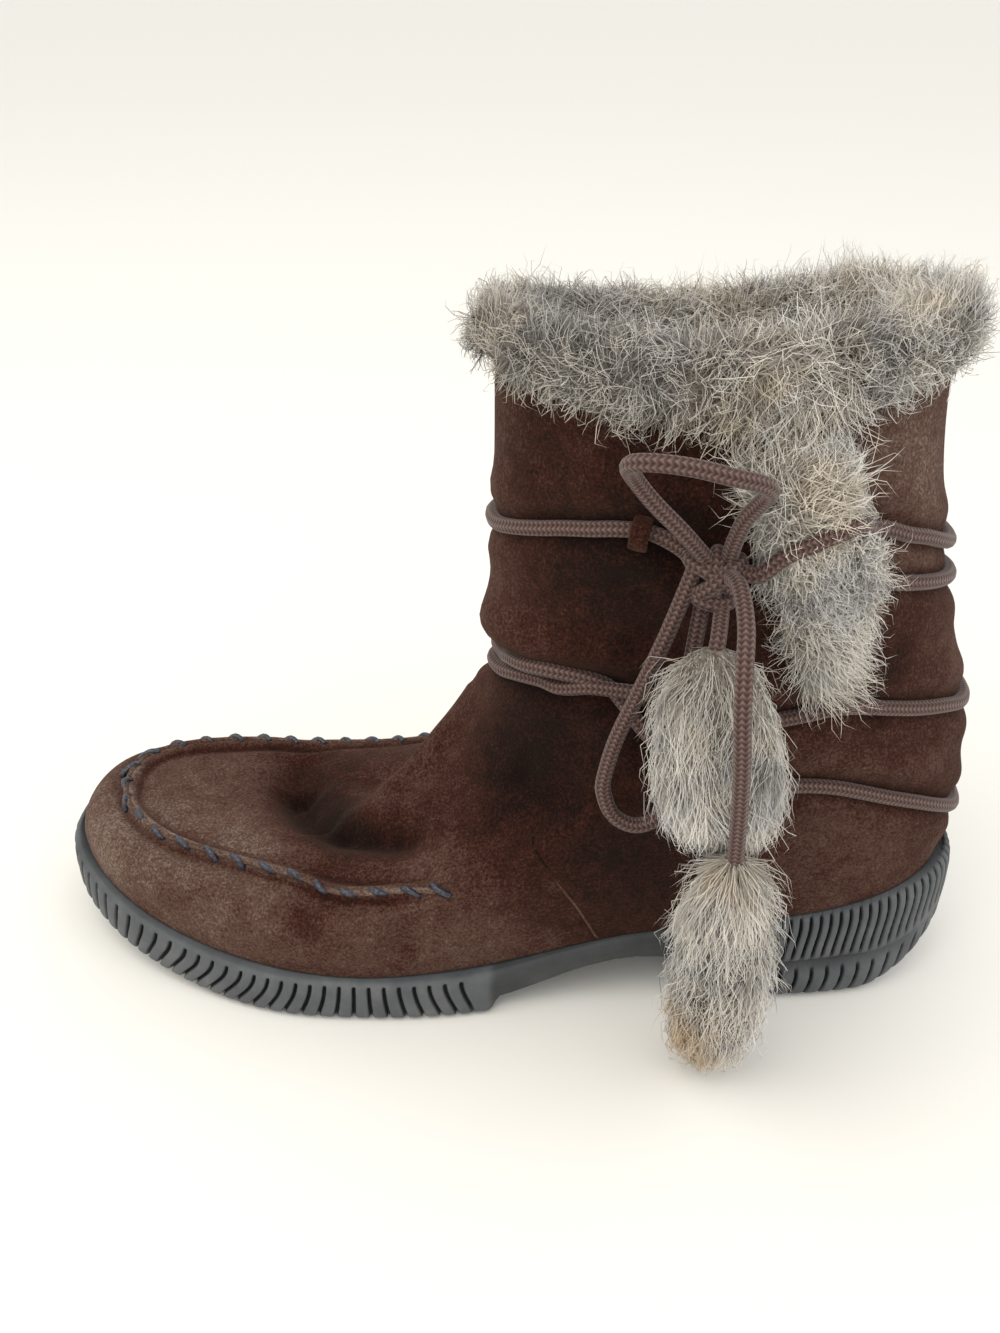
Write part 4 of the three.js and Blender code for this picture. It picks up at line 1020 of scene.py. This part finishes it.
def furPiece(name, layers, ground=None):
    stacks = [(*layer, 0) for layer in layers]
    if ground is not None:
        blank = np.zeros((len(ground[0]), 3))
        stacks.append((*ground, blank + furLook["ground"], blank, 1))
    points, faces, shades, ways, slots = [], [], [], [], []
    for p, f, s, w, slot in stacks:
        shift = sum(len(rows) for rows in points)
        points.append(p)
        shades.append(s)
        ways.append(w)
        faces += [[v + shift for v in face] for face in f]
        slots += [slot] * len(f)
    stacked = np.vstack(points)
    stacked[:, 2] = np.maximum(stacked[:, 2], furLook["floor"])  # none reaches into the floor
    piece = meshPiece(name, toFrame(stacked), faces, [fur, furGround])
    piece.data.polygons.foreach_set("material_index", np.array(slots, np.int32))
    layer = piece.data.attributes.new("hair", "FLOAT_COLOR", "POINT")
    shades = np.vstack(shades)
    colours = np.column_stack([shades, np.ones(len(shades))])
    layer.data.foreach_set("color", colours.astype(np.float32).ravel())
    piece.data.normals_split_custom_set_from_vertices(np.vstack(ways).tolist())
    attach(piece, "root")
    print(name, "ready, faces:", len(piece.data.polygons))
    return piece


def groundFrom(node, name, look):  # the part's own solid, smoothed and drawn in under the hairs
    piece = copyNode(node, name)
    shape = bmesh.new()
    shape.from_mesh(piece.data)
    for _ in range(look["smooths"]):
        bmesh.ops.smooth_vert(shape, verts=shape.verts, factor=0.5, use_axis_x=True, use_axis_y=True,
                              use_axis_z=True)
    shape.to_mesh(piece.data)
    shape.free()
    setCoords(piece, coords(piece) - normals(piece) * look["shrink"] * mm)
    return piece


def dropPiece(piece):  # its points and faces go into the fur's own mesh
    points = toBoot(coords(piece))
    faces = [list(face.vertices) for face in piece.data.polygons]
    mesh = piece.data
    bpy.data.objects.remove(piece)
    bpy.data.meshes.remove(mesh)
    return points, faces


suedeGap = {"probe": 1.6, "least": 1.3}
collarAxis = np.array([84, 0, 0])


def farFromSuede(middles, facing):
    # leave out what lies against the suede
    keep = np.ones(len(middles))
    for k, (spot, way) in enumerate(zip(middles, facing)):
        hit = upperTree.find_nearest(Vector(toFrame(spot + way * suedeGap["probe"])))
        keep[k] = hit[3] > suedeGap["least"] * mm
    return keep


def outOfCollar(points):  # level, away from the collar's axis
    out = points - collarAxis
    out[:, 2] = 0
    return unit(out)


# Fur cuff: it hangs on the outside, stands up over the rim and leans down where the placket meets it;
# the tables' rows are a place along the boot and a share
cuffFur = {"under": 19500, "over": 7300, "underLong": (4, 8), "overLong": (6, 12),
           "shrink": 1.2, "smooths": 3, "swirl": [(17, 3, 0.5), (7, 4, 0.5)], "loose": 0.55, "swirled": 0.95,
           "stand": 0.3, "least": 0.12, "outside": (-0.2, 0.6), "top": 1.6,
           "sideways": (26, -0.25), "raise": 0.35,
           "crown": (72, 47), "crownRaise": 0.7, "crownLonger": 0.35,
           "meetsFrom": 57, "meetsTo": 86, "meetsSide": 20, "meetsDown": 0.7, "meetsLonger": 0.5,
           "clump": (5, 0.3), "bow": 1.6, "curl": 4.6,
           "droop": [(52, 0.3), (62, -0.32), (96, -0.32), (116, 0.1)],
           "ends": [(36, 0.7), (50, 1), (112, 1), (124, 0.8)],
           "pale": [(45, 0.42), (75, 0.24), (100, -0.28), (125, -0.5)]}


def makeCuff():
    ground = groundFrom("fur_cuff", "cuff_ground", cuffFur)
    layers = []
    for layer in ("under", "over"):
        roots, facing = sampleSkin(ground, cuffFur[layer], farFromSuede)
        x, y = roots[:, 0], roots[:, 1]
        outside = partWay(dots(facing, outOfCollar(roots)), *cuffFur["outside"])[:, None]
        swirl = swirls(roots, cuffFur["swirl"], cuffFur["loose"])
        onTop = np.clip(facing[:, 2:] * cuffFur["top"], 0, 1)
        side, least = cuffFur["sideways"]
        near = onTop * np.clip(y[:, None] / side, least, 1)
        crown = partWay(x, *cuffFur["crown"])[:, None] * onTop
        droop = readRows(cuffFur["droop"], x)[:, None]
        rise = droop * outside + cuffFur["raise"] * near + cuffFur["crownRaise"] * crown
        lean = facing * cuffFur["stand"] + upward * rise + swirl * cuffFur["swirled"]
        lean = away(unit(lean), facing, cuffFur["least"])
        long = chance.uniform(*cuffFur[layer + "Long"], len(roots)) * readRows(cuffFur["ends"], x)
        meets = (x > cuffFur["meetsFrom"]) & (x < cuffFur["meetsTo"]) & (y > cuffFur["meetsSide"])
        meets = meets[:, None] * outside
        lean = unit(lean - upward * cuffFur["meetsDown"] * meets)
        longer = 1 + cuffFur["meetsLonger"] * meets + cuffFur["crownLonger"] * crown
        tips = roots + lean * long[:, None] * longer
        if layer == "over":
            tips = clump(roots, tips, *cuffFur["clump"])
        sag = facing * cuffFur["bow"] + curl(facing, cuffFur["curl"])
        layers.append(hairs(layer, roots, tips, facing, sag, readRows(cuffFur["pale"], x), 0.0))
    piece = furPiece("fur_cuff_pile", layers, dropPiece(ground))
    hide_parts("fur_cuff")


makeCuff()


# Long pile lining just inside the collar
collarLining = {"under": 9000, "over": 4200, "underLong": (8, 15), "overLong": (12, 23),
                "from": 146, "to": 197, "inward": -0.5,
                "swirl": [(15, 13, 0.6)], "loose": 0.4, "swirled": 0.7, "stand": 0.75,
                "raise": 0.5, "least": 0.35, "clump": (6, 0.4), "curl": 3, "pale": 0.4}


def insideCollar(middles, facing):
    high = (middles[:, 2] > collarLining["from"]) & (middles[:, 2] < collarLining["to"])
    return (dots(facing, outOfCollar(middles)) < collarLining["inward"]) & high


def makeCollarLining():
    layers = []
    for layer in ("under", "over"):
        roots, facing = sampleSkin(upper, collarLining[layer], insideCollar, 1)
        swirl = swirls(roots, collarLining["swirl"], collarLining["loose"])
        lean = facing * collarLining["stand"] + upward * collarLining["raise"]
        lean = away(unit(lean + swirl * collarLining["swirled"]), facing, collarLining["least"])
        long = chance.uniform(*collarLining[layer + "Long"], len(roots))[:, None]
        tips = clump(roots, roots + lean * long, *collarLining["clump"])
        sag = facing + curl(facing, collarLining["curl"])
        layers.append(hairs(layer, roots, tips, facing, sag, collarLining["pale"], 0.0))
    furPiece("collar_lining_pile", layers)


makeCollarLining()


# Fur placket: it hangs, longer at its foot, and stands up under the cuff; its rear edge there leans forward
placketFur = {"under": 9000, "over": 3200, "underLong": (4, 8), "overLong": (7, 12.5),
              "shrink": 0.8, "smooths": 2, "swirl": [(15, 23, 0.5), (7, 24, 0.5)], "loose": 0.5,
              "swirled": 0.9, "stand": 0.35, "least": 0.2,
              "foot": (132, 112), "head": (158, 168), "rear": (60, 53), "rearHigh": (148, 158),
              "hang": 0.4, "footHang": 0.5, "headRaise": 1.1, "forward": 1.3, "longer": 0.5,
              "clump": (5, 0.3), "bow": 1.6, "curl": 4.6, "pale": 0.8}


def makePlacket():
    ground = groundFrom("fur_placket", "placket_ground", placketFur)
    layers = []
    for layer in ("under", "over"):
        roots, facing = sampleSkin(ground, placketFur[layer], farFromSuede)
        x, z = roots[:, 0], roots[:, 2]
        swirl = swirls(roots, placketFur["swirl"], placketFur["loose"])
        foot = partWay(z, *placketFur["foot"])[:, None]
        head = partWay(z, *placketFur["head"])[:, None]
        rise = placketFur["headRaise"] * head - placketFur["hang"] - placketFur["footHang"] * foot
        lean = facing * placketFur["stand"] + upward * rise + swirl * placketFur["swirled"]
        lean = away(unit(lean), facing, placketFur["least"])
        rear = partWay(x, *placketFur["rear"]) * partWay(z, *placketFur["rearHigh"])
        lean = unit(lean + np.array([placketFur["forward"], 0, 0]) * rear[:, None])
        long = chance.uniform(*placketFur[layer + "Long"], len(roots))[:, None]
        tips = roots + lean * (long * (1 + placketFur["longer"] * foot + placketFur["longer"] * head))
        if layer == "over":
            tips = clump(roots, tips, *placketFur["clump"])
        sag = facing * placketFur["bow"] + curl(facing, placketFur["curl"])
        layers.append(hairs(layer, roots, tips, facing, sag, placketFur["pale"], 0.0))
    piece = furPiece("fur_placket_pile", layers, dropPiece(ground))
    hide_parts("fur_placket")


makePlacket()


# Tassels: a tapering bunch, hair laid from the cord down to the tip
tassels = [
    {"name": "tassel_upper", "top": (86, 60, 136), "tip": (80, 62, 84), "wide": 18, "deep": 12.5,
     "tan": 0.05, "seed": 31, "loose": 0.21, "flare": 0.6},
    {"name": "tassel_lower", "top": (78, 76.5, 87.5), "tip": (77, 64, 8), "wide": 14, "deep": 11.5,
     "tan": 1.4, "seed": 37, "loose": 0.18, "flare": 1.0},
]
tasselShape = [(0, 0.2), (0.06, 0.5), (0.2, 0.8), (0.45, 0.98), (0.7, 1), (0.88, 0.78), (1, 0.3)]
tasselHair = {"under": 7500, "over": 4600, "underLong": (7, 12), "overLong": (12, 21), "rooted": 0.82,
              "ground": 0.78, "groundTo": 0.95, "sides": 20, "rings": 18, "crowd": 0.9, "swirl": (12, 1.2),
              "spread": 0.08, "flareReach": 0.06, "gather": 0.5, "shorter": [(0.6, 1), (1, 0.45)],
              "clump": (8, 0.4), "tanFrom": (0.5, 0.9), "tanSide": 0.6, "bow": 0.8, "loose": 1.3,
              "pale": 0.24, "tipPale": 0.7}


def tasselSpots(tassel, at, turn, share):
    full = curve(tasselShape, 1)(at) * share
    top, tip = np.array(tassel["top"], float), np.array(tassel["tip"], float)
    out = np.column_stack([np.cos(turn) * tassel["wide"], np.sin(turn) * tassel["deep"], np.zeros(len(turn))])
    return top + (tip - top) * at[:, None] + out * full[:, None], out


def makeTassel(tassel):
    rings, sides = tasselHair["rings"], tasselHair["sides"]
    at = np.repeat(np.linspace(0, tasselHair["groundTo"], rings), sides)
    turn = np.tile(-np.arange(sides) * 2 * math.pi / sides, rings)
    groundPoints, _ = tasselSpots(tassel, at, turn, tasselHair["ground"])
    faces = ringFaces(rings, sides)
    faces += [tuple(range(sides))[::-1], tuple(range((rings - 1) * sides, rings * sides))]
    axis = unit(np.array(tassel["tip"], float) - np.array(tassel["top"], float))
    layers = []
    for layer in ("under", "over"):
        count = tasselHair[layer]
        at = chance.random(count) ** tasselHair["crowd"]
        turn = chance.uniform(0, 2 * math.pi, count)
        roots, out = tasselSpots(tassel, at, turn, tasselHair["rooted"])
        out = unit(out)
        size, share = tasselHair["swirl"]
        swirl = swirls(roots, [(size, tassel["seed"], share)], 1) * tassel["loose"]
        flare = tassel["flare"] * np.exp(-at / tasselHair["flareReach"]) - tasselHair["gather"] * at
        lean = unit(axis + out * (tasselHair["spread"] + flare)[:, None] + swirl)
        long = chance.uniform(*tasselHair[layer + "Long"], count) * readRows(tasselHair["shorter"], at)
        tips = clump(roots, roots + lean * long[:, None], *tasselHair["clump"])
        tan = tassel["tan"] * partWay(at, *tasselHair["tanFrom"])
        tan = tan * np.clip(tasselHair["tanSide"] + np.cos(turn), 0, 1)
        sag = out * tasselHair["bow"] + chance.normal(0, tasselHair["loose"], roots.shape)
        paleness = tasselHair["pale"] + tasselHair["tipPale"] * at
        layers.append(hairs(layer, roots, tips, out, sag, paleness, tan))
    piece = furPiece(tassel["name"] + "_pile", layers, (groundPoints, faces))
    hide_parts(tassel["name"])
    return piece


tasselUpper, tasselLower = (makeTassel(tassel) for tassel in tassels)


# Tied lace: two loops, two ends and the knot between them
bow = {
    "loopUpper": [
        (85.6, 41.7, 148.4), (88, 43.4, 151.8), (94.5, 48, 160.5), (102, 51, 169), (107, 54, 176),
        (109, 59, 181), (107, 64, 184), (101, 67, 185), (94, 67, 184), (87, 66, 182), (80, 62, 179),
        (77, 57, 175), (78, 53, 171), (80.5, 49, 165), (82, 45, 157), (82.4, 43, 152.3), (82.9, 41.6, 148.2)],
    "loopLower": [
        (90.3, 42.5, 149.6), (91.9, 43.6, 144.6), (96.5, 46, 131), (102, 46, 115), (107, 46.5, 101),
        (109.6, 47, 89), (109.3, 47.2, 83.6), (106.4, 47.6, 77.2), (100.4, 48, 74.5), (94.4, 47.6, 77.4),
        (91.6, 47, 83.8), (91.2, 46.3, 92), (91, 45.5, 107), (89.5, 45, 124), (87.9, 43.4, 140.2),
        (87.5, 42.6, 145.5)],
    "endLong": [
        (83.4, 42.6, 147.9), (82.6, 46.3, 148.8), (81, 55, 150), (80.5, 66, 146.5), (81, 74, 140),
        (81, 78.8, 130), (80, 80, 118), (79, 79, 104), (78.2, 76.9, 88.4), (77.9, 75, 78), (77.7, 73, 66)],
    "endShort": [(84.5, 43, 142), (83.6, 46.5, 139.6), (84, 50, 139), (85, 56.4, 137), (85.8, 59.5, 134)],
    "turns": [
        [(80.6, 41.5, 141.5), (82, 45.2, 141), (85.6, 46.6, 141.2), (89.3, 45, 142), (90.4, 41.5, 142.6),
         (88.5, 38.6, 142.6), (85, 37.6, 142.2), (81.8, 38.8, 141.8), (80.6, 41.5, 142.4)],
        [(79.4, 38.6, 149.6), (79.6, 42, 150.5), (82.2, 45.6, 149.8), (85.6, 47.2, 147), (88.6, 45.8, 144),
         (90.4, 42.6, 142), (90.2, 39, 141.6)],
        [(91.2, 38.8, 149.6), (91, 42, 150.2), (88.4, 44.8, 149.6), (85, 45.2, 147.4), (82.2, 44, 144.4),
         (80.8, 41.6, 142.4), (80.6, 38.8, 142)],
        [(84.6, 37.4, 151), (85, 41, 151.6), (85.4, 44.4, 149.6), (85.8, 45.8, 146), (85.4, 44.6, 141)],
    ],
}
knotLook = {"radius": cordLook["radius"] * 0.95, "sides": cordLook["sides"], "step": 1.0}  # pulled tight


def makeCord(name, node, key):
    points, faces, uvs, line, length = tube(bow[key], cordLook)
    piece = meshPiece(name, toFrame(points), faces, [lace], uvs)
    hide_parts(node)
    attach(piece, "root")
    return piece


knot = joinTubes("lace_knot_turns", bow["turns"] + [bow["endShort"]], knotLook, lace)
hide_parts("lace_knot", "lace_end_short")
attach(knot, "root")
makeCord("lace_loop_upper", "bow_loop_upper", "loopUpper")
makeCord("lace_loop_lower", "bow_loop_lower", "loopLower")
makeCord("lace_end_hanging", "lace_end_long", "endLong")
print("bow ready")


# Suede keeper that holds the lace to the shaft, its tone a little darker than the upper's
keeperLook = {"tone": 0.22}


def makeKeeper():
    piece = copyNode("lace_keeper", "suede_keeper")
    toQuads(piece)
    soften(piece)
    piece.data.polygons.foreach_set("use_smooth", np.ones(len(piece.data.polygons), bool))
    piece.data.materials.append(suede)
    addTone(piece, "tone", np.full(len(piece.data.vertices), keeperLook["tone"]))
    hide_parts("lace_keeper")
    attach(piece, "root")


makeKeeper()
print("keeper ready")

# The insole keeps the part's own shape and takes the lining's look
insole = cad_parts["insole"]
insole.data.materials.clear()
insole.data.materials.append(lining)


# Plain pale floor and soft studio light
studio = {"floor": 40, "floorColour": "#f4f2ec", "world": 1.0, "worldColour": "#fbfaf7", "lights": [
    {"name": "key", "at": (0.5, 0.5, 1.3), "to": (0, 0, 0.08), "size": 1.2, "watts": 9,
     "colour": "#fffaf2"},
    {"name": "fill", "at": (-0.9, 0.6, 0.8), "to": (0, 0, 0.1), "size": 1.2, "watts": 3,
     "colour": "#f4f7ff"}]}


def makeStage():
    bpy.ops.mesh.primitive_plane_add(size=studio["floor"])
    floor = bpy.context.object
    floor.name = "floor"
    matt = {"Roughness": 0.9, "Base Color": linear(studio["floorColour"])}
    floor.data.materials.append(startMaterial("pale floor", matt)[0])
    world = bpy.data.worlds.new("studio")
    world.use_nodes = True
    sky = world.node_tree.nodes["Background"]
    sky.inputs[0].default_value = linear(studio["worldColour"])
    sky.inputs[1].default_value = studio["world"]
    bpy.context.scene.world = world
    for light in studio["lights"]:
        data = bpy.data.lights.new(light["name"], "AREA")
        data.energy = light["watts"]
        data.size = light["size"]
        data.color = linear(light["colour"])[:3]
        lamp = bpy.data.objects.new(light["name"], data)
        lamp.location = light["at"]
        way = Vector(light["to"]) - Vector(light["at"])
        lamp.rotation_euler = way.to_track_quat("-Z", "Y").to_euler()
        bpy.context.scene.collection.objects.link(lamp)


makeStage()
print("stage ready")
